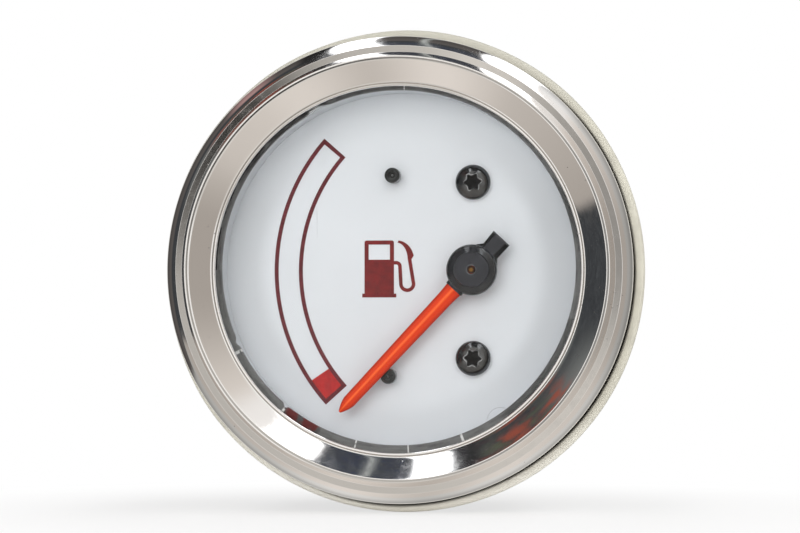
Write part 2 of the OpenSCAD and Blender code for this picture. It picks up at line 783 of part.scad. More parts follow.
// Front half, with the tower that holds the front bearing
module front_bobbin() {
    tower_top = tower_top_z - mov_z;
    color([0.86, 0.84, 0.78]) front() at_pivot() translate([0, 0, mov_z]) difference() {
        union() {
            bobbin_half();
            rod(tower_d / 2, core_half_h, tower_top);
        }
        rod(arbor_r + 2 * drop_gap, 0, tower_top + 1);
        rod(bearing_d / 2, tower_top - bearing_len, tower_top + 1);
    }
}

// Rear half, with the blind hole that the arbor's end turns in and the holes for the coil pins
module rear_bobbin() {
    color([0.86, 0.84, 0.78]) front() at_pivot() translate([0, 0, mov_z]) mirror([0, 0, 1]) difference() {
        bobbin_half();
        rod(arbor_r + run_gap, 0, mov_z - foot_z);
        at_coil_pins() rod(coil_pin_d / 2 + press_gap, mov_half_h - pin_grip, mov_half_h + 1);
    }
}

// Places a copy at each coil pin
module at_coil_pins() {
    for (x = [-1, 1], y = [-1, 1]) translate([x * coil_pin_out, y * coil_pin_out, 0]) children();
}

// Brass bush that the arbor runs in
module front_bearing() {
    color([0.76, 0.60, 0.30]) front() at_pivot()
        tube(bearing_d / 2, arbor_r + run_gap, tower_top_z - bearing_len, tower_top_z);
}

// One winding round the core, drawn about the rotor's middle
module winding(half_w, half_h) {
    difference() {
        post(2 * (half_w + coil_t), coil_w, -half_h - coil_t, half_h + coil_t);
        post(2 * half_w, coil_w + 2, -half_h, half_h);
        rod(tower_d / 2 + coil_gap, 0, half_h + coil_t + 1);
    }
}

// Winding next to the core
module inner_coil() {
    color([0.66, 0.36, 0.20]) front() at_pivot() translate([0, 0, mov_z])
        winding(core_half_w + coil_gap, core_half_h + coil_gap);
}

// Winding crossed over the inner one
module outer_coil() {
    color([0.72, 0.40, 0.22]) front() at_pivot() translate([0, 0, mov_z]) rotate([0, 0, 90])
        winding(core_half_w + coil_gap, core_half_h + coil_t + 2 * coil_gap);
}

// Steel cup round the windings, with holes for the coil pins
module shield_can() {
    color([0.62, 0.63, 0.64]) front() at_pivot() difference() {
        rod(can_out_r, can_floor_z, frame_rear_z);
        rod(can_r, can_floor_z + can_t, frame_rear_z + 1);
        at_coil_pins() rod(coil_pin_d / 2 + 3 * drop_gap, can_floor_z - 1, can_floor_z + can_t + 1);
    }
}

// Four pins from the rear bobbin through the board
module coil_pins() {
    color([0.78, 0.78, 0.78]) front() at_pivot() at_coil_pins()
        rod(coil_pin_d / 2, board_rear_z - pin_out, can_floor_z + can_t + pin_grip - drop_gap);
}

// Plate behind the dial, with the can's pocket, screw bosses, pillars and a window for the lamp
module movement_frame() {
    join_z = frame_rear_z + frame_t / 2;
    color([0.24, 0.25, 0.26]) front() difference() {
        union() {
            rod(bore_r - drop_gap, frame_rear_z, dial_rear_z);
            at_pivot() rod(pocket_r + pocket_wall, frame_rear_z - pocket_depth, join_z);
            at_pivot() for (side = [-1, 1]) translate([0, side * screw_reach, 0])
                rod(boss_r, dial_z - screw_len - thread_room, join_z);
            at_pillars() rod(pillar_d / 2, can_floor_z, join_z);
        }
        at_pivot() rod(pocket_r, frame_rear_z - pocket_depth - 1, frame_rear_z);
        at_pivot() rod(tower_d / 2 + drop_gap, frame_rear_z - 1, dial_rear_z + 1);
        at_pivot() for (side = [-1, 1]) translate([0, side * screw_reach, 0])
            rod(screw_d / 2 + press_gap, dial_z - screw_len - thread_room - 1, dial_rear_z + 1);
        stop_holes(frame_rear_z - 1, dial_rear_z + 1);
        at_pillars() rod(board_screw_d / 2 + press_gap, can_floor_z - 1,
            board_rear_z + board_screw_len + thread_room);
        translate([-lamp_left, 0, 0]) rod(light_window_r, frame_rear_z - 1, dial_rear_z + 1);
    }
}

// Round board behind the can, cut away round the lamp
module circuit_board() {
    low = board_rear_z - 1;
    high = can_floor_z + 1;
    color([0.16, 0.36, 0.22]) front() difference() {
        rod(board_r, board_rear_z, can_floor_z);
        translate([-lamp_left, 0, 0]) rod(bulb_d / 2 + lamp_clear, low, high);
        at_pillars() rod(board_screw_d / 2 + drop_gap, low, high);
        at_pivot() at_coil_pins() rod(coil_pin_d / 2 + drop_gap / 2, low, high);
        at_blades() post(blade_t + drop_gap, leg_w + drop_gap, low, high);
        for (side = [-1, 1], x = [-1, 1])
            translate([x * lead_reach, side * resistor_out, 0]) rod(lead_d / 2 + drop_gap / 2, low, high);
        for (side = [-1, 1]) translate([0, side * lead_reach, 0]) rod(lead_d / 2 + drop_gap / 2, low, high);
    }
}

// Three screws through the board into the pillars
module board_screws() {
    head_h = 0.6 * board_screw_d;
    slot_z = board_rear_z - head_h / 2;
    color([0.70, 0.70, 0.72]) front() at_pillars() difference() {
        union() {
            rod(board_screw_d / 2, board_rear_z - head_h / 2, board_rear_z + board_screw_len);
            rod(board_screw_d, board_rear_z - head_h, board_rear_z);
        }
        for (turn = [0, 90]) rotate([0, 0, turn])
            post(1.1 * board_screw_d, 0.22 * board_screw_d, slot_z - head_h, slot_z);
    }
}

// Body along X with a lead bent into the board at each end
module axial_component(body_r) {
    rotate([0, 90, 0]) rod(body_r, -resistor_len / 2, resistor_len / 2);
    rotate([0, 90, 0]) rod(lead_d / 2, -lead_reach, lead_reach);
    for (side = [-1, 1]) translate([side * lead_reach, 0, 0]) {
        sphere(r = lead_d / 2, $fn = 24);
        rod(lead_d / 2, 0, can_floor_z - component_z);
    }
}

// Two resistors on the board's rear
module ballast_resistors() {
    color([0.72, 0.62, 0.46]) front() for (side = [-1, 1])
        translate([0, side * resistor_out, component_z]) axial_component(resistor_d / 2);
}

// Diode on the board's rear, upright between the resistors
module zener_diode() {
    color([0.14, 0.14, 0.15]) front() translate([0, 0, component_z]) rotate([0, 0, 90])
        axial_component(0.4 * resistor_d);
}

// Black case: barrel, flange, seats for the dial and lens, rear wall and its openings
module case_shell() {
    rear_z = -case_depth;
    c = barrel_chamfer;
    seat_z = spacer_top_z;
    color([0.13, 0.13, 0.14]) front() difference() {
        union() {
            rotate_extrude($fn = 180) polygon([
                [0, rear_z], [barrel_r - c, rear_z], [barrel_r, rear_z + c], [barrel_r, 0], [seat_r, 0],
                [seat_r, flange_z], [flange_r, flange_z], [flange_r, flange_top_z],
                [rim_out_r, flange_top_z], [rim_out_r, seat_z + rim_h], [lens_pocket_r, seat_z + rim_h],
                [lens_pocket_r, seat_z], [rim_r, seat_z], [rim_r, dial_rear_z], [bore_r, dial_rear_z],
                [bore_r, rear_in_z], [0, rear_in_z]
            ]);
            at_blades() post(blade_t + 2 * slot_wall, blade_w + 2 * slot_wall, rear_z - slot_boss_h,
                rear_z + rear_wall / 2);
        }
        translate([-lamp_left, 0, 0]) rod(lamp_hole_d / 2, rear_z - 1, rear_in_z + 1);
        at_studs() rod(stud_d / 2 + drop_gap, rear_z - 1, rear_in_z + 1);
        at_blades() post(blade_t + 2 * press_gap, blade_w + 2 * press_gap, rear_z - slot_boss_h - 1,
            rear_in_z + 1);
    }
}

// Soft ring between the panel and the bezel, with a step that fills the space inside the rolled edge
module panel_gasket() {
    g = gasket_round;
    color([0.86, 0.85, 0.79]) front() translate([gasket_right, gasket_up, 0]) rotate_extrude($fn = 180)
        polygon(concat(
            [[gasket_bore_r, 0]],
            arc(panel_gasket_r - g, g, g, g, -90, 0, 6),
            arc(panel_gasket_r - g, gasket_t - g, g, g, 0, 90, 6),
            [[gasket_step_r, gasket_t], [gasket_step_r, flange_z], [gasket_bore_r, flange_z]]
        ));
}

// Three blades through the rear wall, each with a stop bar inside and a leg into the board
module terminal_blades() {
    rear_z = -case_depth;
    tip_z = rear_z - blade_len;
    half = blade_w / 2;
    n = blade_nose;
    color([0.80, 0.70, 0.42]) front() at_blades() difference() {
        union() {
            translate([-blade_t / 2, 0, 0]) rotate([90, 0, 90]) linear_extrude(blade_t) polygon([
                [-half + n, tip_z], [half - n, tip_z], [half, tip_z + n], [half, rear_in_z],
                [-half, rear_in_z], [-half, tip_z + n]
            ]);
            post(blade_t, blade_w + 2 * blade_bar_out, rear_in_z, rear_in_z + blade_bar_h);
            post(blade_t, leg_w, rear_in_z + blade_bar_h / 2, can_floor_z);
        }
        translate([0, 0, tip_z + blade_hole_in]) rotate([0, 90, 0]) rod(blade_hole_r, -blade_w, blade_w);
    }
}

// Two studs with hexagon heads inside the rear wall
module mounting_studs() {
    tip_z = -case_depth - stud_len;
    nut_rear_z = -case_depth - washer_t - nut_t;
    r = stud_d / 2;
    color([0.74, 0.74, 0.73]) front() at_studs() {
        rotate_extrude($fn = 48) polygon([
            [0, tip_z], [r - stud_chamfer, tip_z], [r, tip_z + stud_chamfer],
            [r, nut_rear_z - 2 * stud_groove],
            [r - stud_groove, nut_rear_z - 1.5 * stud_groove], [r - stud_groove, nut_rear_z - stud_groove],
            [r, nut_rear_z], [r, rear_in_z + stud_head_t / 2], [0, rear_in_z + stud_head_t / 2]
        ]);
        translate([0, 0, rear_in_z])
            cylinder(r = stud_head_w / 2 / cos(30), h = stud_head_t, $fn = 6);
    }
}

// Flat washers against the rear wall
module stud_washers() {
    color([0.76, 0.76, 0.75]) front() at_studs()
        tube(washer_d / 2, stud_d / 2 + press_gap, -case_depth - washer_t, -case_depth);
}

// Hexagon nuts on the washers
module stud_nuts() {
    low = -case_depth - washer_t - nut_t;
    color([0.74, 0.73, 0.70]) front() at_studs() difference() {
        translate([0, 0, low]) cylinder(r = nut_w / 2 / cos(30), h = nut_t, $fn = 6);
        rod(stud_d / 2 + press_gap, low - 1, low + nut_t + 1);
    }
}

// Holder pushed into the rear wall: plug, flange, grip and a socket for the bulb's flat base
module lamp_holder() {
    rear_z = -case_depth;
    plug_r = lamp_hole_d / 2 - lamp_gap;
    flange_low = rear_z - holder_flange_t;
    grip_low = flange_low - grip_len;
    color([0.20, 0.20, 0.21]) front() translate([-lamp_left, 0, 0]) difference() {
        union() {
            rod(plug_r, flange_low, holder_front_z);
            rod(plug_r + holder_flange_w, flange_low, rear_z);
            intersection() {
                rod(0.9 * plug_r, grip_low, rear_z);
                post(2 * plug_r, 1.4 * plug_r, grip_low, rear_z);
            }
        }
        rod(bulb_d / 2 + drop_gap, bulb_low_z, holder_front_z + 1);
        post(bulb_d + 2 * press_gap, wedge_t + 2 * press_gap, socket_z, holder_front_z);
        at_contacts() post(contact_w + 2 * press_gap, contact_t + 2 * press_gap, grip_low - 1, bulb_low_z);
    }
}

// Places a copy at each lamp contact, on either side of the bulb's flat base
module at_contacts() {
    for (side = [-1, 1]) translate([0, side * (wedge_t / 2 + contact_t / 2 + press_gap), 0]) children();
}

// Wedge-base bulb: hollow glass with a flat base
module lamp_bulb() {
    glass_r = bulb_d / 2;
    in_r = glass_r - bulb_glass_t;
    top_z = holder_front_z + bulb_out - glass_r;
    floor_z = bulb_low_z + bulb_floor;
    color([0.92, 0.93, 0.93, 0.4]) front() translate([-lamp_left, 0, 0]) {
        difference() {
            rotate_extrude($fn = 64) polygon(concat([[0, bulb_low_z], [glass_r, bulb_low_z]],
                arc(0, top_z, glass_r, glass_r, 0, 90, 10)));
            rotate_extrude($fn = 64) polygon(concat([[0, floor_z], [in_r, floor_z]],
                arc(0, top_z, in_r, in_r, 0, 90, 10)));
        }
        post(0.98 * bulb_d, wedge_t, socket_z, floor_z - bulb_floor / 2);
    }
}

// Two support wires and the filament between them
module lamp_filament() {
    low = bulb_low_z + bulb_floor;
    top = low + 0.55 * bulb_out;
    color([0.60, 0.60, 0.60]) front() translate([-lamp_left, 0, 0]) {
        for (side = [-1, 1]) translate([side * wire_out, 0, 0]) rod(wire_r, low, top);
        translate([0, 0, top]) rotate([0, 90, 0]) rod(wire_r, -wire_out - wire_r, wire_out + wire_r);
    }
}

// Two flat contacts that run from beside the bulb's base out of the holder's rear
module lamp_contacts() {
    low = -case_depth - holder_flange_t - grip_len - contact_out;
    color([0.80, 0.70, 0.42]) front() translate([-lamp_left, 0, 0])
        at_contacts() post(contact_w, contact_t, low, bulb_low_z);
}

bezel();
lens();
lens_gasket();
dial_spacer();
dial_plate();
scale_print();
reserve_print();
pump_print();
dial_screws();
stop_pins();
pointer_needle();
pointer_hub();
arbor();
rotor_magnet();
front_bobbin();
rear_bobbin();
front_bearing();
inner_coil();
outer_coil();
shield_can();
coil_pins();
movement_frame();
circuit_board();
board_screws();
ballast_resistors();
zener_diode();
case_shell();
panel_gasket();
terminal_blades();
mounting_studs();
stud_washers();
stud_nuts();
lamp_holder();
lamp_bulb();
lamp_filament();
lamp_contacts();
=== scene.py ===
from types import SimpleNamespace

import bmesh
import bpy
import numpy as np
from bpy.props import FloatProperty, FloatVectorProperty, PointerProperty
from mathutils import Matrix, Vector


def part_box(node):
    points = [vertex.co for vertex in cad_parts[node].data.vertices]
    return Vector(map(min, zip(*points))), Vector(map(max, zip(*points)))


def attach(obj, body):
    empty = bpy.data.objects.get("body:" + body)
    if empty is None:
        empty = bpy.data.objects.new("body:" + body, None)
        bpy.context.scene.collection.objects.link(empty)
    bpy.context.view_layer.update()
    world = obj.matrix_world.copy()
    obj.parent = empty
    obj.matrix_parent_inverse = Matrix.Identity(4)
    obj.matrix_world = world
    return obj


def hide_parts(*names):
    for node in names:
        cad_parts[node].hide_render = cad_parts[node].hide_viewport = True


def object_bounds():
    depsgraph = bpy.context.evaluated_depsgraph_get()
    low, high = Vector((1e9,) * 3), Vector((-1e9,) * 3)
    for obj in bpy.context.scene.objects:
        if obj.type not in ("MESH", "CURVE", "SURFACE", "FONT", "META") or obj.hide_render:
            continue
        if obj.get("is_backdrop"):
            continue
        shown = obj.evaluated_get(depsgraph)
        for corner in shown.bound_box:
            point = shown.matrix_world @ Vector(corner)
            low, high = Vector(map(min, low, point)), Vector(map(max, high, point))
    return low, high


bl_info = {
    "name": "Fuel gauge",
    "version": (1, 0, 0),
    "blender": (4, 5, 0),
    "location": "View3D > Sidebar > Fuel gauge",
    "description": "Dresses the packed fuel gauge and lights it on a plain stage",
    "category": "Add Mesh",
}

# Shapes are drawn facing the viewer, x to the right, y up and z near. They and the materials are in millimetres.
# front() turns shapes into the frame, which is in metres, as the camera and the lamps are.
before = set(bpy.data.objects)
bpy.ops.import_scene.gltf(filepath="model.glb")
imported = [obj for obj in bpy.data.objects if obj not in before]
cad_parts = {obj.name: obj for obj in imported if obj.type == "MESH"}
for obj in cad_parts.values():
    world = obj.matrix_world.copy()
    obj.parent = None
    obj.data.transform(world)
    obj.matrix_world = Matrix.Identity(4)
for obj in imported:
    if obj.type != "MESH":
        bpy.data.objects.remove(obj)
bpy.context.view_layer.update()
MM = 0.001
FULL = 2 * np.pi
NEEDLE_TURN = 226.88


def half_width(node):
    """Half a node's width across the view."""
    low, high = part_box(node)
    return (high[0] - low[0]) / 2 / MM


def middle(node):
    """The middle of a node across the view and up it."""
    low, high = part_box(node)
    return np.array([low[0] + high[0], low[2] + high[2]]) / 2 / MM


def near(node):
    """Height of a node's nearest point over the panel's front surface."""
    return -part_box(node)[0][1] / MM


def far(node):
    """Height of a node's farthest point, which is negative behind the panel's front surface."""
    return -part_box(node)[1][1] / MM


PIVOT = middle("arbor")
DIAL_Z = near("dial_plate")


def linear(*levels):
    """The linear colour of red, green and blue levels from 0 to 255."""
    share = np.array(levels) / 255
    return tuple(float(c) for c in np.where(share <= 0.04045, share / 12.92, ((share + 0.055) / 1.055) ** 2.4))


def shade(colour, factor):
    return tuple(factor * c for c in colour)


def length(name, description, default):
    """A length whose default is in millimetres."""
    return FloatProperty(name=name, description=description, default=float(default * MM), subtype="DISTANCE",
                         unit="LENGTH", precision=5)


def tint(name, description, *levels):
    return FloatVectorProperty(name=name, description=description, default=linear(*levels), subtype="COLOR", size=3,
                               min=0, max=1)


# ---- Surfaces ----


def front(points):
    """Turns points drawn facing the viewer so that they face -Y with +Z up: (x, y, z) becomes (x, -z, y), in metres."""
    return np.stack([points[..., 0], -points[..., 2], points[..., 1]], -1) * MM


def bow(centre, radii, start, end, count):
    """Points on an arc of an ellipse, or of a circle with one radius: centre + (a cos t, b sin t) for t from start to
    end, in degrees."""
    turn = np.radians(np.linspace(start, end, count))
    return np.array(centre) + np.broadcast_to(radii, 2) * np.stack([np.cos(turn), np.sin(turn)], -1)


def path(*parts):
    """Joins points and runs of points into one array."""
    return np.concatenate([np.atleast_2d(np.array(part, float)) for part in parts])


def ease(value, low, high):
    """A smooth step from 0 at low to 1 at high: 3 u^2 - 2 u^3."""
    u = np.clip((value - low) / (high - low), 0, 1)
    return u * u * (3 - 2 * u)


def wobble(angle, seed, waves):
    """A closed wavy curve about 0: a sum of sines of 2 to waves turns with set phases, each up to 1 / its turns
    high."""
    draw = np.random.default_rng(seed)
    turns = np.arange(2, waves)
    phase, height = draw.uniform(0, FULL, len(turns)), draw.uniform(0.3, 1, len(turns)) / turns
    return (height * np.sin(np.multiply.outer(angle, turns) + phase)).sum(-1)


def angles(count):
    """Angles evenly round a circle."""
    return np.arange(count) * FULL / count


def turned(rings, count, centre=(0, 0)):
    """A surface of rings round the viewing axis: x = r cos t, y = r sin t, z = h, where r and h are a ring's radius and
    height, numbers or arrays over t. A ring of radius 0 is a pole."""
    t = angles(count)
    radius = np.stack([np.broadcast_to(ring[0], count) for ring in rings])
    height = np.stack([np.broadcast_to(ring[1], count) for ring in rings])
    return np.stack([centre[0] + radius * np.cos(t), centre[1] + radius * np.sin(t), height], -1)


def along(sections):
    """A surface of closed sections one after another, each an array of points; the first and last shrink to a point."""
    sections = np.asarray(sections)
    ends = [np.broadcast_to(s.mean(0), s.shape) for s in (sections[0], sections[-1])]
    return np.concatenate([ends[:1], sections, ends[1:]])


def placed(points, centre, turn):
    """Points turned by an angle in degrees about the viewing axis, then moved to centre."""
    c, s = np.cos(np.radians(turn)), np.sin(np.radians(turn))
    x, y = points[..., 0], points[..., 1]
    return np.stack([centre[0] + c * x - s * y, centre[1] + s * x + c * y, points[..., 2]], -1)


def quads(rows, columns, ring):
    """Faces that join each point of a grid to the next row and column. The columns close, and the rows too for a
    ring."""
    i = np.arange(rows if ring else rows - 1)[:, None]
    j = np.arange(columns)[None, :]
    below, beside = (i + 1) % rows, (j + 1) % columns
    corners = [i * columns + j, i * columns + beside, below * columns + beside, below * columns + j]
    return np.stack(corners, -1).reshape(-1, 4)


def read(items, field, kind=float, width=1):
    """A field of a mesh's points, edges, loops or faces as an array, width numbers to each."""
    values = np.empty(len(items) * width, kind)
    items.foreach_get(field, values)
    return values.reshape(-1, width) if width > 1 else values


def mark(mesh, name, values):
    """Gives each point of a mesh a number."""
    mesh.attributes.new(name, "FLOAT", "POINT").data.foreach_set("value", values.astype(np.float32))


def mark_wear_and_glint(mesh):
    """Marks each point with how sharply the surface turns outward there: the greatest angle between the faces at its
    convex edges, as a share of 60 degrees."""
    edge = read(mesh.loops, "edge_index", int)
    face = np.repeat(np.arange(len(mesh.polygons)), read(mesh.polygons, "loop_total", int))
    normal, centre = (read(mesh.polygons, field, width=3) for field in ("normal", "center"))
    order = np.argsort(edge, kind="stable")
    pair = np.flatnonzero(edge[order][1:] == edge[order][:-1])
    one, two = face[order][pair], face[order][pair + 1]
    bend = np.arccos(np.clip((normal[one] * normal[two]).sum(1), -1, 1))
    convex = (normal[one] * (centre[two] - centre[one])).sum(1) < 0
    ends = read(mesh.edges, "vertices", int, 2)[edge[order][pair]]
    wear = np.zeros(len(mesh.vertices))
    for end in ends.T:
        np.maximum.at(wear, end, np.where(convex, bend, 0) / np.radians(60))
    mark(mesh, "wear", np.clip(wear, 0, 1))


def piece(name, grids, finish, body, nodes, crease=38, span=None):
    """Makes one piece of surfaces from turned() or along(), each with True if its rows close too, and puts it in the
    frame. The points that meet are merged, and edges sharper than crease degrees stay sharp. span, an array per grid,
    becomes the attribute of that name."""
    points, faces, start = [], [], 0
    for grid, ring in grids:
        points.append(front(grid).reshape(-1, 3))
        faces.append(quads(grid.shape[0], grid.shape[1], ring) + start)
        start += points[-1].shape[0]
    mesh = bpy.data.meshes.new(name)
    mesh.from_pydata(np.concatenate(points).tolist(), [], np.concatenate(faces).tolist())
    if span is not None:
        mark(mesh, "span", np.concatenate([np.ravel(s) for s in span]))
    settled(mesh, name, finish, body, nodes, crease)


def added(name, data):
    """A new object in the scene."""
    made = bpy.data.objects.new(name, data)
    bpy.context.scene.collection.objects.link(made)
    return made


def settled(mesh, name, finish, body, nodes, crease, bevel=0.0):
    """Merges a mesh's doubles, points its faces outward, and adds it to the scene as a piece on a body. A piece with a
    bevel has its sharp edges rounded, and the others have their convex edges marked, which the materials use for wear
    and, on some plastics, for a painted highlight."""
    work = bmesh.new()
    work.from_mesh(mesh)
    bmesh.ops.remove_doubles(work, verts=work.verts, dist=2e-7)
    bmesh.ops.dissolve_degenerate(work, edges=work.edges, dist=1e-7)
    if bevel:
        bmesh.ops.dissolve_limit(work, angle_limit=np.radians(0.4), verts=work.verts, edges=work.edges)
    bmesh.ops.recalc_face_normals(work, faces=work.faces)
    work.to_mesh(mesh)
    work.free()
    mesh.shade_smooth()
    mesh.set_sharp_from_angle(angle=np.radians(crease))
    mesh.materials.append(finished(finish))
    made = added(name, mesh)
    if bevel:
        round_edges = made.modifiers.new("Rounded edges", "BEVEL")
        round_edges.width, round_edges.segments, round_edges.limit_method = bevel * MM, 2, "ANGLE"
        round_edges.angle_limit = np.radians(crease)
        made.modifiers.new("Flat faces", "WEIGHTED_NORMAL").keep_sharp = True
    else:
        mark_wear_and_glint(mesh)
    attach(made, body)
    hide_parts(*nodes)


def softened(name, node, finish, body, bevel):
    """A merged copy of a CAD node with its sharp edges rounded."""
    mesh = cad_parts[node].data.copy()
    mesh.materials.clear()
    if "custom_normal" in mesh.attributes:
        mesh.attributes.remove(mesh.attributes["custom_normal"])
    settled(mesh, name, finish, body, [node], 30, bevel)


# ---- Materials ----


def sum_of(operation, swapped=False):
    """A method that adds a Math node for a socket and one more value."""
    def method(self, other):
        return self.tree.math(operation, *((other, self) if swapped else (self, other)))
    return method


class Value:
    """A shader socket. Sums, products and powers on it add Math nodes."""
    __add__ = __radd__ = sum_of("ADD")
    __mul__ = __rmul__ = sum_of("MULTIPLY")
    __sub__, __rsub__ = sum_of("SUBTRACT"), sum_of("SUBTRACT", True)
    __truediv__, __pow__ = sum_of("DIVIDE"), sum_of("POWER")

    def __init__(self, tree, socket):
        self.tree, self.socket = tree, socket

    def __abs__(self):
        return self.tree.math("ABSOLUTE", self)


class Tree:
    """The nodes of one material or of the world."""

    def __init__(self, owner):
        owner.use_nodes = True
        self.nodes, self.links = owner.node_tree.nodes, owner.node_tree.links
        self.nodes.clear()

    def node(self, kind, inputs=(), output=0, **settings):
        """Adds a node: its settings are set first, then its inputs get their values or links, by name or place. A
        colour is given as three numbers."""
        new = self.nodes.new("ShaderNode" + kind)
        for key, value in settings.items():
            setattr(new, key, value)
        for key, value in dict(inputs).items():
            socket = new.inputs[key]
            if isinstance(value, Value):
                self.links.new(value.socket, socket)
            else:
                socket.default_value = (*value, 1) if socket.type == "RGBA" else value
        return Value(self, new.outputs[output]) if new.outputs else None

    def math(self, operation, *values):
        """The result of a Math node."""
        return self.node("Math", enumerate(values), operation=operation)

    def place(self):
        """The place on the piece, in millimetres."""
        return self.node("VectorMath", {0: self.node("TexCoord", output="Object"), "Scale": 1 / MM}, operation="SCALE")

    def axes(self, vector=None):
        """The three parts of a vector, or of the place on the piece."""
        split = self.node("SeparateXYZ", {0: vector or self.place()})
        return [Value(self, s) for s in split.socket.node.outputs]

    def vector(self, *parts):
        """A vector of three parts."""
        return self.node("CombineXYZ", enumerate(parts))

    def polar(self):
        """Radius about the gauge's axis, the angle round it in radians, and the depth."""
        x, depth, z = self.axes()
        return (x * x + z * z) ** 0.5, self.math("ARCTAN2", z, x), depth

    def marked(self, name):
        """The number that a mesh's attribute gives each point."""
        return self.node("Attribute", output="Fac", attribute_name=name)

    def noise(self, size, detail=2.0, rough=0.5, vector=None):
        """Noise from 0 to 1 whose features are about size across."""
        return self.node("TexNoise", {
            "Vector": vector or self.place(), "Scale": 1 / size, "Detail": detail, "Roughness": rough})

    def specks(self, size, full, edge, patch, low, high):
        """1 on round specks about size apart, solid to full of size and gone at edge, in patches about patch across
        where the noise is over low to high."""
        off = self.node("TexVoronoi", {"Vector": self.place(), "Scale": 1 / size})
        return self.ease(off, edge, full) * self.ease(self.noise(patch), low, high)

    def ease(self, value, start, end):
        """Goes smoothly from 0 at start to 1 at end, which may be the lower one."""
        return self.node("MapRange", {"Value": value, "From Min": start, "From Max": end},
                         interpolation_type="SMOOTHSTEP")

    def mix(self, one, two, amount):
        """The first colour where amount is 0 and the second where it is 1."""
        return self.node("Mix", {0: amount, 6: one, 7: two}, 2, data_type="RGBA")

    def layers(self, colour, *layers):
        """A colour with others laid over it in turn, each with its amount."""
        for other, amount in layers:
            colour = self.mix(colour, other, amount)
        return colour

    def ramp(self, degrees, stops):
        """A warm grey by an angle: stops pairs degrees from 0 to 360 with levels, and levels between are mixed."""
        made = self.node("ValToRGB", {0: degrees / 360.0})
        bands = made.socket.node.color_ramp.elements
        for at, level in stops[1:-1]:
            bands.new(at / 360)
        for band, (at, level) in zip(bands, stops):
            band.position, band.color = at / 360, (*linear(level, level * 0.98, level * 0.95), 1)
        return made

    def bump(self, height, depth, under=None):
        """A normal from a height of 0 to 1 that is depth deep, in millimetres, and that may add to one under it."""
        normal = {"Normal": under} if under else {}
        return self.node("Bump", {"Height": height, "Distance": depth * MM, "Strength": 1.0, **normal})

    def shader(self, colour, rough, height, depth, under=None, **more):
        """A Principled shader whose bump is that of bump()."""
        more = {name.replace("_", " "): value for name, value in more.items()}
        return self.node("BsdfPrincipled", {
            "Base Color": colour, "Roughness": rough, "Normal": self.bump(height, depth, under), **more})

    def done(self, shader, kind="OutputMaterial"):
        """Gives the output its shader."""
        self.node(kind, {"Surface": shader})


def chrome(tree, colour, rough):
    """Polished plating: fine rings from spinning, slow waves, a haze of wipe marks and scattered pits."""
    radius, turn, depth = tree.polar()
    rings = tree.noise(0.35, 1.0, vector=tree.vector(radius, turn * 1.2, depth))
    waves = tree.bump(tree.noise(5, 1.0), 0.008)
    pits = tree.specks(1.1, 0.05, 0.11, 6, 0.52, 0.62)
    wipes = tree.ease(tree.noise(1.6, 4.0, 0.7), 0.4, 0.75)
    return tree.shader(tree.mix(colour, shade(colour, 0.55), pits), rough + wipes * 0.06 + pits * 0.3,
                       rings * 0.35 + tree.noise(0.2) * 0.12 - pits * 1.2, 0.0016, waves, Metallic=1.0)


def metal(tree, colour, rough, stain=(0.2, 0.16, 0.1), stained=0.35):
    """Plated or drawn metal: fine grain, dull clouds and brighter worn edges."""
    clouds = tree.ease(tree.noise(2.2, 4.0, 0.65), 0.42, 0.72)
    fine = tree.noise(0.25, 3.0, 0.6)
    bright = tuple(min(1, c) for c in shade(colour, 1.25))
    base = tree.layers(colour, (stain, clouds * stained), (bright, tree.ease(tree.marked("wear"), 0.3, 0.9) * 0.6))
    return tree.shader(base, rough + clouds * 0.18 + fine * 0.08, fine + clouds * 0.4, 0.006, Metallic=1.0)


def plastic(tree, colour, rough, grain=0.3, depth=0.012, dust=0.08, worn=0.35, gloss=0.0, rubbed=0.35,
            face=None, mirror=0.5, shine=1.5):
    """Moulded plastic: a fine texture, faint flow clouds, a little dust, paler edges that are rubbed wear and on some
    pieces a painted highlight, and, where the attribute span is 1, the colour of its face and less gloss."""
    clouds = tree.noise(5, 3.0, 0.6)
    fine = tree.noise(grain, 2.0, 0.55)
    base = tree.mix(colour, tuple(1.3 * c + 0.004 for c in colour), clouds)
    if face is not None:
        span = tree.marked("span")
        base = tree.mix(base, face, span)
        gloss = gloss - span * (gloss * 0.8)
    pale = tuple(c + (0.5 - c) * rubbed for c in colour)
    edge_patches = tree.ease(tree.noise(0.9, 3.0), 0.36, 0.62)
    # Paler convex edges: rubbed wear, and on the screws, stop pins and hub a painted highlight as well.
    base = tree.layers(base, (pale, tree.ease(tree.marked("wear"), 0.25, 0.9) * worn * edge_patches),
                       (linear(170, 165, 155), tree.specks(1.4, 0.03, 0.06, 4, 0.5, 0.6) * dust))
    return tree.shader(base, rough + (clouds - 0.5) * 0.12 + fine * 0.06, fine, depth, Coat_Weight=gloss,
                       Coat_Roughness=0.09, Specular_IOR_Level=mirror, Coat_IOR=shine)


def enamel(tree, colour, rough):
    """Satin enamel on the dial: an even pale coat with slow clouds, faint peel, a few grains of dust and a painted
    shade towards its rim, weaker above and below."""
    peel = tree.noise(0.6)
    z = tree.axes()[2]
    # Painted shade: the dial darkens towards its rim, as under the bezel, weaker above and below.
    rim_shade = tree.ease(tree.polar()[0], 16.8, 19.8) * (1 - tree.ease(z, 6, 19) * 0.85)
    rim_shade = rim_shade * (1 - tree.ease(z, -8, -19) * 0.45)
    base = tree.layers(
        colour, (shade(colour, 0.955), tree.ease(tree.noise(12, 3.0), 0.3, 0.75)), (shade(colour, 0.81), rim_shade),
        (linear(150, 148, 145), tree.specks(1.9, 0.018, 0.04, 5, 0.55, 0.62) * 0.5))
    return tree.shader(base, rough + peel * 0.1, peel, 0.004)


def ink(tree, colour, other):
    """Printed ink: two close tones in mottled patches, and a dull film."""
    patches = tree.ease(tree.noise(0.9, 3.0, 0.6), 0.35, 0.7)
    grain = tree.noise(0.12)
    base = tree.mix(colour, other, patches * 0.7 + grain * 0.15)
    return tree.shader(base, 0.42 + grain * 0.2, grain, 0.003)


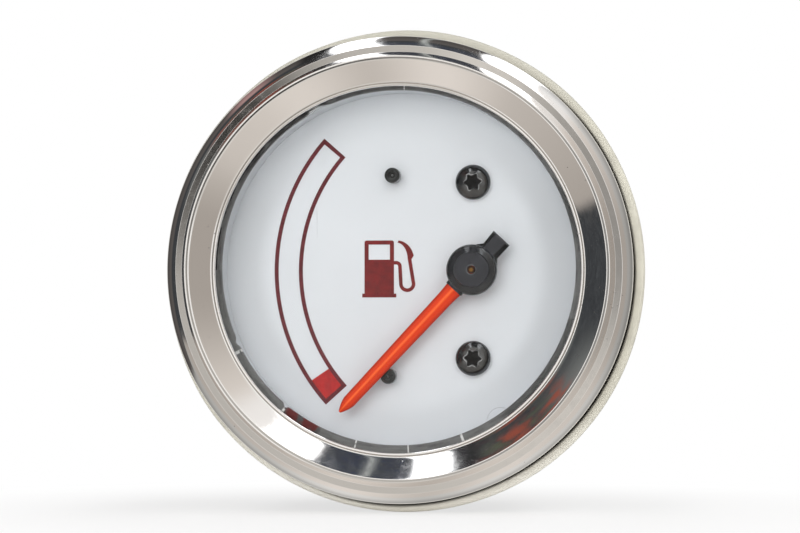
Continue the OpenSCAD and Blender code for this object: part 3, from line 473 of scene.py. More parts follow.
def pin_end(tree, colour, rim):
    """Brass pin in the hub: dull brass in its middle and darker towards its rim."""
    x, _, z = tree.axes()
    u, v = (axis - float(at) for axis, at in zip((x, z), PIVOT))
    off = (u * u + v * v) ** 0.5 + tree.noise(0.3) * 0.12
    grain = tree.noise(0.1)
    base = tree.mix(colour, rim, tree.ease(off, 0.24, 0.36))
    return tree.shader(base, 0.42 + grain * 0.15, grain, 0.01, Metallic=0.8)


def needle_paint(tree, colour, edge, ridge):
    """Bright translucent plastic: darker towards its edges, a painted shade on the flanks, and paler along its ridge, a
    painted highlight.
    """
    span = tree.marked("span")
    streaks = tree.noise(1.1, 3.0, 0.6)
    # Painted shade towards the edges and a painted highlight along the ridge, set by the attribute span across the
    # needle.
    base = tree.layers(colour, (edge, tree.ease(abs(span) + (streaks - 0.5) * 0.2, 0.5, 1.0) * 0.75),
                       (ridge, tree.ease(abs(span + 0.06), 0.3, 0.02) * 0.8))
    return tree.shader(base, 0.34 + streaks * 0.12, tree.noise(0.4), 0.006, Specular_IOR_Level=0.3)


def rubber(tree, colour, rough, dirt):
    """Soft moulded rubber: mottled, paler below, a painted light, and darker at the top, a painted shade, with dark
    flecks and grime in patches, and dark in its groove, a painted shade, where the attribute span is 1."""
    z = tree.axes()[2]
    patches = tree.noise(4, 4.0, 0.6)
    fine = tree.noise(0.3, 3.0, 0.6)
    base = tree.layers(
        colour,
        # Painted light: paler towards the bottom.
        (linear(250, 248, 238), tree.ease(z, -12, -30)),
        (shade(colour, 0.84), tree.ease(patches, 0.35, 0.7) * tree.ease(z, -30, -10)),
        # Painted shade: darker towards the top.
        (shade(colour, 0.74), tree.ease(z, 6, 30)),
        (dirt, tree.ease(tree.noise(2.8, 5.0, 0.7), 0.55, 0.8) * 0.3),
        (linear(60, 56, 50), tree.specks(2.4, 0.02, 0.06, 7, 0.52, 0.6) * 0.8),
        # Painted shade in the groove, where the attribute span is 1.
        (linear(64, 61, 57), tree.marked("span")),
    )
    return tree.shader(base, rough + patches * 0.12, fine + patches, 0.004)


# Where the gasket under the glass is torn: the angle and half the width of each nick, in degrees
NICKS = ((88.3, 0.22), (-104, 0.3), (-69.3, 0.5), (-87, 0.25), (-153, 0.6), (-129.6, 0.5), (118, 2.4))


def torn_rubber(tree, colour, rough, pale, dark, red):
    """Old rubber under the glass: streaks that run round it, darker from 105 to 150 degrees, a painted shadow along the
    lip's edge on the left, a dark red stretch at 237 degrees, and pale nicks where it is torn."""
    radius, turn, depth = tree.polar()
    degrees = turn * (180 / np.pi)
    streaks = tree.noise(0.5, 3.0, 0.7, tree.vector(radius, turn * 3.5, depth))
    fine = tree.noise(0.3, 3.0, 0.6)

    def near_to(at, width, soft):
        return tree.ease(abs(degrees - at), width + soft, width)

    # Painted shadow just inside the lip, round 150 degrees.
    lip_shadow = tree.ease(radius + (fine - 0.5) * 0.2, 23.47, 23.56) * near_to(150, 34, 10)
    nicks = sum(near_to(at, width * 0.5, width * 0.6) for at, width in NICKS)
    base = tree.layers(
        colour,
        (shade(colour, 0.5), tree.ease(streaks, 0.42, 0.75)),
        (shade(colour, 1.5), tree.ease(fine, 0.58, 0.8) * 0.5),
        (dark, near_to(128, 14, 14) * tree.ease(streaks, 0.36, 0.5)),
        (linear(24, 22, 22), lip_shadow * tree.ease(tree.noise(1.8, 3.0), 0.42, 0.5)),
        (red, near_to(-123, 5, 2)),
        (dark, near_to(-123, 6, 2) * tree.ease(tree.noise(1.2, 3.0), 0.5, 0.6)),
        (pale, nicks * tree.ease(streaks, 0.62, 0.5)),
    )
    return tree.shader(base, rough + fine * 0.15, streaks + fine * 0.5, 0.03)


def glass(tree, colour, gloss=0.4, scratches=True):
    """Clear glass as a film: light passes, and a share set by the angle is mirrored. A few fine scratches and the arc
    of a hair catch it."""
    through = tree.node("BsdfTransparent", {0: colour})
    shine = tree.node("BsdfGlossy", {"Color": (1, 1, 1), "Roughness": 0.03})
    mirrored = tree.node("Fresnel", {"IOR": 1.45}) * gloss
    clear = tree.node("MixShader", {0: mirrored, 1: through, 2: shine})
    if not scratches:
        return clear
    x, _, z = tree.axes()
    u, v = x - 13.1, z + 19.3
    ring = abs((u * u + v * v) ** 0.5 - 1.7)
    arc = tree.ease(ring, 0.05, 0.01) * tree.ease(v - 0.4 * u, 0.0, 1.3)
    upright = tree.node("VectorMath", {0: tree.place(), 1: (1, 1, 0.05)}, operation="MULTIPLY")
    lines = tree.ease(tree.noise(0.6, 1.0, vector=upright), 0.785, 0.8) * tree.ease(tree.noise(6), 0.5, 0.6)
    dull = tree.node("BsdfDiffuse", {"Color": linear(120, 122, 125)})
    return tree.node("MixShader", {0: arc * 0.16 + lines * 0.05, 1: clear, 2: dull})


def board(tree, colour):
    """Glass-fibre board: a green mask over a faint square weave."""
    x, _, z = tree.axes()
    weave = tree.math("SINE", x * 9) * tree.math("SINE", z * 9)
    clouds = tree.noise(4, 3.0)
    base = tree.mix(colour, shade(colour, 1.6), tree.ease(weave, -0.5, 1.0) * 0.35 + clouds * 0.3)
    return tree.shader(base, 0.32 + clouds * 0.1, weave, 0.006)


def winding(tree, colour):
    """Enamelled copper wire side by side: fine ridges across the depth of the coil, darker in the grooves between
    turns, a painted shade.
    """
    x, depth, z = tree.axes()
    turns = tree.math("SINE", (depth + (x + z) * 0.02) * 52)
    tone = tree.noise(1.5, 3.0)
    # Painted shade in the grooves between the turns.
    base = tree.mix(colour, shade(colour, 0.55), tree.ease(turns, 0.2, -0.9) * 0.8 + tone * 0.15)
    return tree.shader(base, 0.3 + tone * 0.1, turns, 0.03, Metallic=0.85)


# Each finish: its material, its colour or the name of the user's colour, and its settings
FINISHES = {
    "bezel_chrome": (chrome, "metal_tint", dict(rough=0.075)),
    "lens_glass": (glass, (0.992, 0.996, 0.996), {}),
    "lens_gasket": (torn_rubber, "lens_gasket_tint", dict(
        rough=0.45, pale=linear(232, 232, 230), dark=linear(80, 79, 79), red=linear(104, 30, 28))),
    "spacer_white": (plastic, "spacer_tint", dict(rough=0.4)),
    "dial_paint": (enamel, "dial_tint", dict(rough=0.38)),
    "scale_ink": (ink, "scale_tint", dict(other=linear(90, 20, 28))),
    "reserve_ink": (ink, "reserve_tint", dict(other=linear(156, 18, 20))),
    "pump_ink": (ink, "pump_tint", dict(other=linear(98, 14, 16))),
    # The screws' face colour is a painted shade in their recesses, and their paler edges partly a painted highlight.
    "black_screw": (plastic, "screw_tint", dict(
        rough=0.3, depth=0.006, dust=0.1, worn=1.2, gloss=1.0, rubbed=1.0, face=linear(4, 4, 4), mirror=0.15,
        shine=1.95)),
    # The stop pins' paler edges are partly a painted highlight.
    "stop_black": (plastic, "stop_tint", dict(
        rough=0.3, grain=0.2, depth=0.006, dust=0.05, worn=1.0, gloss=0.8, rubbed=0.5, mirror=0.2)),
    "needle_orange": (needle_paint, "needle_tint", dict(edge=linear(152, 24, 6), ridge=linear(255, 106, 34))),
    # The hub's face colour is a painted sheen on its flat tops, and its paler edges partly a painted highlight.
    "hub_black": (plastic, "hub_tint", dict(
        rough=0.34, grain=0.25, depth=0.004, dust=0.05, worn=0.7, gloss=1.0, rubbed=0.4,
        face=linear(56, 56, 60), mirror=0.2, shine=1.7)),
    "arbor_brass": (pin_end, linear(150, 112, 60), dict(rim=linear(72, 50, 40))),
    "magnet": (metal, linear(92, 92, 96), dict(rough=0.45)),
    "bobbin": (plastic, linear(206, 200, 186), dict(rough=0.42)),
    "bearing_brass": (metal, linear(190, 156, 90), dict(rough=0.3)),
    "copper_wire": (winding, linear(186, 96, 50), {}),
    "can_steel": (metal, linear(168, 168, 166), dict(rough=0.34)),
    "tinned_pin": (metal, linear(196, 196, 192), dict(rough=0.28)),
    "frame_black": (plastic, linear(40, 41, 43), dict(rough=0.46)),
    "board_green": (board, linear(26, 84, 48), {}),
    "zinc_steel": (metal, linear(196, 192, 178), dict(rough=0.26, stain=linear(150, 130, 84), stained=0.4)),
    "resistor_body": (plastic, linear(196, 170, 130), dict(rough=0.45)),
    "diode_black": (plastic, linear(34, 34, 36), dict(rough=0.35)),
    "case_black": (plastic, "case_tint", dict(rough=0.4, grain=0.28, depth=0.02)),
    "gasket_cream": (rubber, "gasket_tint", dict(rough=0.55, dirt=linear(176, 176, 168))),
    "terminal_brass": (metal, "terminal_tint", dict(rough=0.28, stain=linear(120, 88, 40), stained=0.45)),
    "holder_black": (plastic, linear(36, 36, 38), dict(rough=0.42)),
    "bulb_glass": (glass, (0.96, 0.97, 0.97), dict(gloss=1.0, scratches=False)),
    "filament_wire": (metal, linear(120, 118, 116), dict(rough=0.4)),
}


def finished(slot):
    """The material for a slot of the record, made once."""
    name = slot + "_finish"
    if name in bpy.data.materials:
        return bpy.data.materials[name]
    build, colour, settings = FINISHES[slot]
    if isinstance(colour, str):
        colour = tuple(getattr(bpy.context.scene.gauge_colours, colour))
    material = bpy.data.materials.new(name)
    tree = Tree(material)
    tree.done(build(tree, colour, **settings))
    return material


def coat(finishes):
    """Gives CAD nodes their materials."""
    for node, slot in finishes.items():
        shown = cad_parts[node].data
        shown.materials.clear()
        shown.materials.append(finished(slot))


# ---- Sizes and colours ----


class GaugeSizes(bpy.types.PropertyGroup):
    """Sizes of the pieces that show."""
    bezel_r: length("Bezel radius", "Radius of the bezel's side", half_width("bezel"))
    bezel_wall: length("Bezel wall", "Thickness of the bezel's metal", 0.6)
    roll_w: length("Rolled edge", "Width of the edge rolled round the case's flange", 1.8)
    roll_round: length("Rolled edge's rounding", "Radius of the rolled edge's corner", 0.7)
    shoulder_w: length("Shoulder width", "Width of the rounded shoulder", 1.4)
    shoulder_h: length("Shoulder height", "Height of the rounded shoulder", 2.05)
    land_w: length("Land width", "Width of the flat inside the shoulder", 0.9)
    riser_h: length("Riser height", "Height of the step up to the crest", 2.05)
    riser_w: length("Riser width", "Width of the step up to the crest", 0.6)
    crest_w: length("Crest width", "Width of the crest over its bevels", 0.45)
    crest_edge: length("Crest's bevels", "Width of the bevel on each side of the crest", 0.11)
    lip_r: length("Lip radius", "Inner radius of the bezel's lip", 23.4)
    lip_w: length("Lip width", "Width of the rounded lip", 0.38)
    lip_h: length("Lip height", "Height of the lip over the glass", 0.65)
    lens_chamfer: length("Glass chamfer", "Width of the chamfer on the glass", 0.2)
    gasket_round: length("Gasket's rounding", "Radius of the panel gasket's edges", 0.65)
    needle_len: length("Needle length", "Distance from the pivot to the needle's tip", 25.1)
    needle_w: length("Needle width", "Width of the needle before its point", 1.7)
    needle_base_w: length("Needle base", "Width of the needle's taper at the hub", 2.14)
    needle_root_w: length("Needle root", "Width of the needle where it leaves the hub", 2.3)
    hub_r: length("Hub radius", "Radius of the pointer's hub", 3.27)
    disc_r: length("Disc radius", "Radius of the raised disc on the hub", 2.22)
    tail_len: length("Tail length", "Distance from the pivot to the tail's end", 5.6)
    tail_w: length("Tail width", "Width of the tail", 2.8)
    head_r: length("Screw head radius", "Radius of the dial screws' heads", 2.275)
    head_h: length("Screw head height", "Height of the dial screws' heads", 1.5)
    recess_r: length("Recess radius", "Reach of the six-lobe recess", 1.19)
    stop_r: length("Stop radius", "Radius of the stop pins", 1.0)
    stud_r: length("Stud radius", "Outer radius of the studs' thread", 2.0)
    pitch: length("Thread pitch", "Pitch of the studs' thread", 0.7)


class GaugeColours(bpy.types.PropertyGroup):
    """Colours of the finishes that show."""
    metal_tint: tint("Bezel", "Colour of the bezel's plating", 243, 241, 239)
    dial_tint: tint("Dial", "Colour of the dial", 226, 229, 233)
    lens_gasket_tint: tint("Glass gasket", "Colour of the gasket under the glass", 120, 120, 119)
    spacer_tint: tint("Spacer", "Colour of the ring between dial and glass", 200, 204, 208)
    scale_tint: tint("Scale", "Colour of the scale's line", 108, 28, 38)
    reserve_tint: tint("Reserve", "Colour of the reserve field", 192, 18, 16)
    pump_tint: tint("Pump", "Colour of the pump sign", 128, 18, 18)
    screw_tint: tint("Screws", "Colour of the dial screws", 12, 12, 12)
    stop_tint: tint("Stops", "Colour of the stop pins", 36, 38, 37)
    needle_tint: tint("Needle", "Colour of the needle", 226, 57, 3)
    hub_tint: tint("Hub", "Colour of the hub", 8, 9, 11)
    case_tint: tint("Case", "Colour of the case", 32, 32, 34)
    gasket_tint: tint("Panel gasket", "Colour of the panel gasket", 221, 218, 203)
    terminal_tint: tint("Terminals", "Colour of the blade terminals", 206, 178, 112)


class GaugeStage(bpy.types.PropertyGroup):
    """Camera and light."""
    distance: length("Camera distance", "Distance from the camera to the gauge", 400)
    azimuth: FloatProperty(name="Camera azimuth", description="Turn of the camera to the right of the gauge's axis",
                           default=np.radians(5.3), subtype="ANGLE", unit="ROTATION")
    elevation: FloatProperty(name="Camera elevation", description="Rise of the camera over the gauge's axis",
                             default=np.radians(-1.27), subtype="ANGLE", unit="ROTATION")
    lens: FloatProperty(name="Focal length", description="Focal length on a 36 mm wide sensor", default=138.74,
                        unit="CAMERA")
    aim_x: length("Aim across", "Point that the camera looks at, across", -0.308)
    aim_z: length("Aim up", "Point that the camera looks at, up", 0.506)
    window: FloatProperty(name="Windows", description="Brightness of the two tall windows", default=3.0, min=0)
    key: FloatProperty(name="Key lamp", description="Power of the small lamp in front", default=1.5, unit="POWER")
    fill: FloatProperty(name="Fill lamp", description="Power of the broad lamp in front", default=6.9, unit="POWER")


# ---- Pieces ----


class GaugePiece:
    """What the gauge's operators share: make() gets the sizes in millimetres."""
    bl_options = {"REGISTER", "UNDO"}

    def execute(self, context):
        sizes = context.scene.gauge_sizes
        self.make(SimpleNamespace(**{name: getattr(sizes, name) / MM for name in GaugeSizes.__annotations__}))
        return {"FINISHED"}


class GAUGE_OT_bezel(GaugePiece, bpy.types.Operator):
    """Pressed bezel: its section, from the rolled edge over the crest to the lip and back, turned round the axis"""
    bl_idname = "gauge.bezel"
    bl_label = "Bezel"

    def make(self, s):
        rear_z, crest_z, lens_z, wall = far("bezel"), near("bezel"), near("lens"), s.bezel_wall
        land_out = s.bezel_r - s.shoulder_w
        riser_r = land_out - s.land_w
        land_z = crest_z - s.riser_h
        crest_out = riser_r - s.riser_w
        crest_in = crest_out - s.crest_w
        lip_out, lip_z = s.lip_r + s.lip_w, lens_z + s.lip_h
        corner, tilt, hold, lip_round = 0.1, 0.043, 0.03, 0.09
        out_lean, in_lean = -11.5, 15.5
        flat_w = s.land_w - corner

        def facet(r, z, width, lean, end=0.15):
            """A flat that runs inward from (r, z) and leans inward by lean degrees. Points near its ends hold its
            shade."""
            share = np.array([0, end, 1 - end, 1]) * width
            return np.stack([r - share, z - share * np.tan(np.radians(lean))], -1)

        # The shoulder is an ellipse cut short, so it meets the land at an angle.
        shift = 0.7
        shoulder_r = s.shoulder_w + shift
        cut = np.degrees(np.arccos(shift / shoulder_r))
        shoulder = bow((land_out - shift, land_z - s.shoulder_h),
                       (shoulder_r, (s.shoulder_h - tilt) / np.sin(np.radians(cut))), 0, cut, 44)
        # The cone between crest and lip is crowned, a line plus 4 u (1 - u) of its crown, and ends in a fine bead.
        crown, bead, bead_r = 0.07, 0.08, lip_out + 0.14
        u = np.linspace(0, 1, 14)[1:-1]
        cone_r = crest_in + (bead_r + bead - crest_in) * u
        cone_top = crest_z - s.crest_edge * np.tan(np.radians(in_lean))
        cone_z = cone_top + (lip_z - 0.04 - cone_top) * u + crown * 4 * u * (1 - u)
        outside = path(
            (s.bezel_r - s.roll_w, rear_z),
            bow((s.bezel_r - s.roll_round, rear_z + s.roll_round), s.roll_round, -90, 0, 9),
            shoulder,
            facet(land_out, land_z - tilt, flat_w, -np.degrees(np.arctan(tilt / flat_w)), 0.03),
            bow((riser_r + corner, land_z + corner), corner, 262, 190, 6),
            (riser_r - 0.08 * s.riser_w, land_z + corner + hold),
            (crest_out + 0.06 * s.riser_w, crest_z - 0.15),
            facet(crest_out, crest_z + s.crest_edge * np.tan(np.radians(out_lean)), s.crest_edge, out_lean),
            (crest_out - s.crest_edge - hold / 2, crest_z), (crest_in + s.crest_edge + hold / 2, crest_z),
            facet(crest_in + s.crest_edge, crest_z, s.crest_edge, in_lean),
            np.stack([cone_r, cone_z], -1),
            facet(bead_r + bead - 0.01, lip_z - 0.01, 1.5 * bead, in_lean),
            (lip_out + 0.02, lip_z - 0.2),
            (lip_out - 0.09, lip_z - 0.06), facet(lip_out - 0.1, lip_z, 0.17, in_lean),
            bow((s.lip_r + lip_round, lip_z - 0.14), lip_round, 76, 180, 7),
        )
        inside = path(
            (s.lip_r, lens_z), (half_width("lens") - wall, lens_z), (crest_in + wall / 6, crest_z - 1.3 * wall),
            (crest_out - 0.45 * wall, crest_z - 1.4 * wall), (riser_r - wall, land_z - wall), (land_out, land_z - wall),
            bow((land_out, land_z - s.shoulder_h), (s.shoulder_w - wall, s.shoulder_h - wall), 78, 0, 10),
            (s.bezel_r - wall, rear_z + wall), (s.bezel_r - s.roll_w, rear_z + wall),
        )
        profile = path(outside, inside)
        turn = angles(480)
        # The pressed lip is a little uneven, so its inner edge wanders by a few hundredths of a millimetre.
        waves = 0.018 * wobble(turn, 4, 60)
        lip = ease(lip_out - profile[:, 0], 0, s.lip_w / 2) * (profile[:, 1] > lens_z + 0.01)
        rings = [(r + waves * share, z) for (r, z), share in zip(profile, lip)]
        piece("bezel_ring", [(turned(rings, 480), True)], "bezel_chrome", "case", ["bezel"], 50)


class GAUGE_OT_glass(GaugePiece, bpy.types.Operator):
    """Flat glass with chamfered edges, the ragged gasket under it and the spacer ring, each a section turned round"""
    bl_idname = "gauge.glass"
    bl_label = "Glass and its seat"

    def make(self, s):
        r, low, high, c = half_width("lens"), far("lens"), near("lens"), s.lens_chamfer
        section = path((0, low), (r - c, low), (r, low + c), (r, high - c), (r - c, high), (0, high))
        piece("glass_disc", [(turned(section, 240), False)], "lens_glass", "case", ["lens"], 30)
        low, high, out_r = far("lens_gasket"), near("lens_gasket"), half_width("lens_gasket")
        turn = angles(720)
        # Chips and frayed stretches push the gasket's inner edge outward: notches at set angles, in degrees.
        chips = [(116, 2.2, 0.34), (119, 1.4, 0.2), (204, 1.2, 0.3), (230, 0.8, 0.35)]
        bite = sum(depth * np.exp(-((np.degrees(turn) - at) / width) ** 2) for at, width, depth in chips)
        ragged = 0.05 * wobble(turn, 11, 90) * ease(np.abs(np.degrees(turn) - 150), 60, 20)
        # Its bore sits a little high, so the ring shows thin at the top and broad at the bottom.
        bore_r, up, left = 22.78, 0.27, 0.12
        inner = bore_r + up * np.sin(turn) - left * np.cos(turn) + bite + np.abs(ragged)
        rings = [(inner, low), (inner - 0.02, (low + high) / 2), (inner + 0.04, high), (out_r, high), (out_r, low)]
        piece("glass_gasket", [(turned(rings, 720), True)], "lens_gasket", "case", ["lens_gasket"], 45)
        low, high, out_r = far("dial_spacer"), near("dial_spacer"), half_width("dial_spacer")
        spacer_w, c = 1.3, 0.15
        in_r = out_r - spacer_w
        section = path((in_r, low), (in_r, high - c), (in_r + c, high), (out_r - c, high), (out_r, high - c),
                       (out_r, low))
        piece("spacer_ring", [(turned(section, 300), True)], "spacer_white", "case", ["dial_spacer"], 30)


class GAUGE_OT_panel_gasket(GaugePiece, bpy.types.Operator):
    """Soft ring behind the bezel: a rounded section turned round its own axis, its rim slightly uneven"""
    bl_idname = "gauge.panel_gasket"
    bl_label = "Panel gasket"

    def make(self, s):
        out_r, top = half_width("panel_gasket"), near("panel_gasket")
        shown_z, g = far("bezel"), s.gasket_round
        step_r, bore_r, groove = s.bezel_r - s.roll_w - 0.6, 26.85, 1.2
        turn = angles(480)
        sag = 0.12 * (wobble(turn, 21, 14) - 0.9)
        rim = path(bow((out_r - g, g), g, -90, 0, 8), bow((out_r - g, shown_z - g), g, 0, 90, 8))
        hold = ease(rim[:, 0], out_r - 1.2 * g, out_r)
        # The gasket stands off the bezel's edge at the right and below, where a dark gap shows.
        gap_r = s.bezel_r - 0.17 - 0.2 * np.cos(turn) - 0.08 * np.sin(turn)
        for at, width, more in ((264, 20, 0.27), (38, 18, 0.2)):
            gap_r += more * np.exp(-((np.degrees(turn) - at) / width) ** 2)
        rings = [(bore_r, 0), *((r + np.minimum(sag, 0) * h, z) for (r, z), h in zip(rim, hold))]
        rings += [(gap_r + off, shown_z - down) for off, down in (
            (0.36, 0.01), (0.2, 0.07), (0.07, 0.2), (0, 0.5), (0, groove))]
        rings += [(step_r, shown_z - groove), (step_r, top), (bore_r, top)]
        grid = turned(rings, 480, middle("panel_gasket"))
        # The groove's rings are marked with span, which paints them dark: a painted shade in the gap by the bezel.
        groove_shade = np.zeros(grid.shape[:2])
        groove_shade[len(rim) + 2:len(rim) + 7] = np.array([0.45, 0.7, 1, 1, 1])[:, None]
        piece("gasket_ring", [(grid, True)], "gasket_cream", "case", ["panel_gasket"], 40, [groove_shade])


class GAUGE_OT_dial(GaugePiece, bpy.types.Operator):
    """Paint on the dial, its scale, its reserve field and its pump sign"""
    bl_idname = "gauge.dial"
    bl_label = "Dial"

    def make(self, s):
        coat({"dial_plate": "dial_paint", "scale_print": "scale_ink", "reserve_print": "reserve_ink",
              "pump_print": "pump_ink"})


# Where the needle leaves the hub's collar, and the length of its point
COLLAR_LEN, POINT_LEN = 3.43, 1.9


def needle_half(s, at):
    """Half the needle's width: a straight taper, plus a flare that fades with its distance squared, less the point."""
    flare_len, tip = 2.2, 0.14
    taper = np.clip((at - COLLAR_LEN) / (s.needle_len - POINT_LEN - COLLAR_LEN), 0, 1)
    flare = np.clip(1 - (at - COLLAR_LEN) / flare_len, 0, 1) ** 2
    point = np.clip((at - s.needle_len + POINT_LEN) / POINT_LEN, 0, 1)
    half = (s.needle_base_w - (s.needle_base_w - s.needle_w) * taper) / 2
    half = half + (s.needle_root_w - s.needle_base_w) / 2 * flare
    return half - (half - tip) * point ** 1.5


class GAUGE_OT_needle(GaugePiece, bpy.types.Operator):
    """Needle: a low rounded roof and a web under it, each a closed section carried from the hub to the tip"""
    bl_idname = "gauge.needle"
    bl_label = "Needle"

    def make(self, s):
        side, ridge, root_x = 0.38, 0.32, 2.4
        low = near("pointer_needle") - side - ridge
        at = np.concatenate([[root_x], np.linspace(COLLAR_LEN, s.needle_len - POINT_LEN, 60),
                             s.needle_len - POINT_LEN * (1 - np.linspace(0.05, 0.985, 22))])
        half = needle_half(s, at)[:, None]
        # Across the section: the roof falls from the ridge as 1 - |v|^1.25, with a rounded brow, then a flat underside.
        v = np.concatenate([np.linspace(-0.97, 0.97, 31), [1.0, 1.0, 0.96, 0.0, -0.96, -1.0, -1.0]])
        roof = side + ridge * (1 - np.abs(v[:31]) ** 1.25) * (1 - 0.25 * np.abs(v[:31]) ** 6)
        rise = np.concatenate([roof, [0.8 * side, 0.12 * side, 0, 0, 0, 0.12 * side, 0.8 * side]])
        height = np.minimum(1, half / (s.needle_w / 2)) ** 0.7
        blade = along(np.stack(np.broadcast_arrays(at[:, None], half * v, low + rise * (0.4 + 0.6 * height)), -1))
        paint = np.tile(v, (len(blade), 1))
        paint[[0, -1]] = 0
        web_t, web_low = 0.35, far("pointer_needle")
        x = np.concatenate([[root_x], np.linspace(3.4, s.needle_len - 2.5, 12)])[:, None]
        corner = np.array([(-1, 1), (1, 1), (1, 0.25), (0.7, 0), (-0.7, 0), (-1, 0.25)])
        web = along(np.stack(np.broadcast_arrays(
            x, web_t * corner[:, 0], web_low + (low + 0.1 - web_low) * corner[:, 1]), -1))
        # The root is a drum round the arbor.
        bore_r, drum_top = 0.45, low + side / 2
        drum = turned(path((bore_r, web_low), (root_x, web_low), (root_x, drum_top), (bore_r, drum_top)), 64)
        # The web and the drum take most of the darker edge colour: painted shade under the blade.
        piece("needle", [(placed(blade, PIVOT, NEEDLE_TURN), False), (placed(web, PIVOT, NEEDLE_TURN), False),
                         (placed(drum, PIVOT, 0), True)], "needle_orange", "pointer", ["pointer_needle"], 50,
              [paint, np.full(web.shape[:2], 0.9), np.full(drum.shape[:2], 0.9)])


class GAUGE_OT_hub(GaugePiece, bpy.types.Operator):
    """Hub: rings round the pivot whose outer ones follow the outline of disc, collar and tail, at the height of the
    tallest of the three at each point"""
    bl_idname = "gauge.hub"
    bl_label = "Hub"

    def make(self, s):
        count = 720
        t = angles(count)
        low, top = far("pointer_hub"), near("pointer_hub")
        rim_z = top - 0.6
        tail_z = rim_z - 0.25
        collar_half, tail_half = s.needle_root_w / 2 + 0.12, s.tail_w / 2
        rim_w, tail_flat, touch = 0.3, 0.75, 0.001

        def reach(wide, far_end, flare=0.0):
            """Distance to the end or side of a bar along t = 0, far_end long, whose half width is wide + flare x."""
            c, sn = np.maximum(np.cos(t), 1e-6), np.maximum(np.abs(np.sin(t)), 1e-6)
            return np.where(np.cos(t) > 0, np.minimum(far_end / c, wide / np.maximum(sn - flare * c, 1e-6)), 0)

        collar = reach(collar_half, COLLAR_LEN)
        narrow = 0.36 * tail_half * (np.sin(t) > 0)
        tail = np.roll(reach(tail_half - narrow, s.tail_len, narrow / s.tail_len), count // 2)
        # The disc spreads into the tail in a hollow curve, from 41 to 21 degrees off the tail.
        off_tail = np.abs(np.degrees(t) - 180)
        waist = s.hub_r * (1 + 0.13 * np.clip(1 - (off_tail - 21) / 20, 0, 1) ** 2)
        outline = np.maximum(np.maximum(waist, collar), tail)

        def height(radius):
            """Top surface: a disc with a rounded step, a slope to the rim, and the flat-topped tail and collar."""
            x, y = radius * np.cos(t), np.abs(radius * np.sin(t))
            step = 0.25 * ease(radius, s.disc_r - 0.04, s.disc_r + 0.1)
            slope = 0.35 * np.clip((radius - s.disc_r) / (s.hub_r - s.disc_r - rim_w), 0, 1)
            brow = 0.35 * np.clip((radius - s.hub_r + rim_w) / rim_w, 0, 1) ** 2
            bevel = 0.5 * np.clip((y - tail_flat) / (tail_half - tail_flat), 0, 1)
            tail_end = 0.1 * ease(-x, s.tail_len - 0.25, s.tail_len)
            collar_edge = 0.1 * ease(y, collar_half - 0.15, collar_half)
            return np.maximum.reduce(np.broadcast_arrays(
                np.where(radius <= s.hub_r + touch, top - step - slope - brow, low),
                np.where((x < 0) & (y <= tail_half * 1.3 + touch), tail_z - bevel - tail_end, low),
                np.where((x > 0) & (y <= collar_half + touch), tail_z - collar_edge, low)))

        fixed = np.concatenate([np.linspace(0.55, 2.0, 6), np.linspace(2.12, 2.38, 12), np.linspace(2.46, 2.9, 6),
                                np.linspace(2.97, 3.27, 9)])
        edge = fixed[-1]
        beyond = outline > edge + touch
        rings = [(r, height(r)) for r in fixed]
        for part in np.linspace(0.1, 0.97, 12):
            radius = edge + (outline - edge) * part
            rings.append((radius, np.where(beyond, height(radius), height(edge))))
        rings += [(outline, np.where(beyond, height(outline) - 0.12, rings[-1][1])), (outline, low + 0.1),
                  (outline - 0.08, low), (fixed[0], low)]
        local = turned(rings, count)
        # The flat tops of disc, collar and tail carry a painted sheen, the hub's paler face colour; the ring's slope
        # carries less of it, and its brow and the bevels none.
        x, y, z = np.abs(local[..., 0]), np.abs(local[..., 1]), local[..., 2]
        flat = 0.35 + 0.65 * ease(np.hypot(x, y), s.disc_r + 0.05, s.disc_r - 0.02)
        on_bar = ease(y, 0.95, tail_flat) * (x > s.hub_r - rim_w)
        flat = np.where(z > tail_z - 0.3, np.maximum(flat * (z > rim_z), on_bar), 0)
        piece("hub_cap", [(placed(local, PIVOT, NEEDLE_TURN), True)], "hub_black", "pointer", ["pointer_hub"], 40,
              [flat])


def recess_edge(s, count, turn):
    """Radius of a six-lobe recess: a mean radius with six rounded lobes, sharpened by a little of the 12th wave."""
    t = angles(count) - np.radians(turn)
    return s.recess_r * (0.86 + 0.14 * np.cos(6 * t) + 0.022 * np.cos(12 * t)) / 1.022


class GAUGE_OT_dial_screws(GaugePiece, bpy.types.Operator):
    """Domed black screws: rings from the floor of the six-lobe recess over the dome to the shank"""
    bl_idname = "gauge.dial_screws"
    bl_label = "Dial screws"

    def make(self, s):
        count, grids, spans = 192, [], []
        top, low = near("dial_screws"), far("dial_screws")
        shank_r, off_pivot, edge = 1.25, 11.4, 0.1
        base, rise = DIAL_Z + 0.4 * s.head_h, 0.6 * s.head_h

        def dome(r):
            """Height of the dome, an ellipse."""
            return base + rise * np.sqrt(1 - (r / s.head_r) ** 2)

        for side, turn in ((1, 6.0), (-1, -4.0)):
            lobes = recess_edge(s, count, turn)
            brim, mean = lobes + 0.06, (lobes + s.recess_r) / 2 + 0.08
            rings = [(0.0, top - 0.82), (lobes * 0.5, top - 0.8), (lobes * 0.88, top - 0.74), (lobes * 0.93, top - 0.6),
                     (lobes * 0.95, dome(lobes) - 0.12), (lobes, dome(lobes) - 0.02), (brim, dome(brim) + 0.015),
                     (mean, dome(mean))]
            rings += [(r, z) for r, z in bow((0, base), (s.head_r, rise), 66, 4, 20) if r > s.recess_r + 0.1]
            rings += [(s.head_r, DIAL_Z + edge), (s.head_r - edge, DIAL_Z), (shank_r, DIAL_Z), (shank_r, low + 0.6),
                      (shank_r - 0.4, low), (0.0, low)]
            grids.append((turned(rings, count, PIVOT + np.array([0, side * off_pivot])), False))
            # The recess, its first five rings, is painted darker than the head: a painted shade.
            spans.append(np.repeat(np.arange(len(rings)) < 5, count))
        piece("dial_screw_pair", grids, "black_screw", "case", ["dial_screws"], 28, spans)


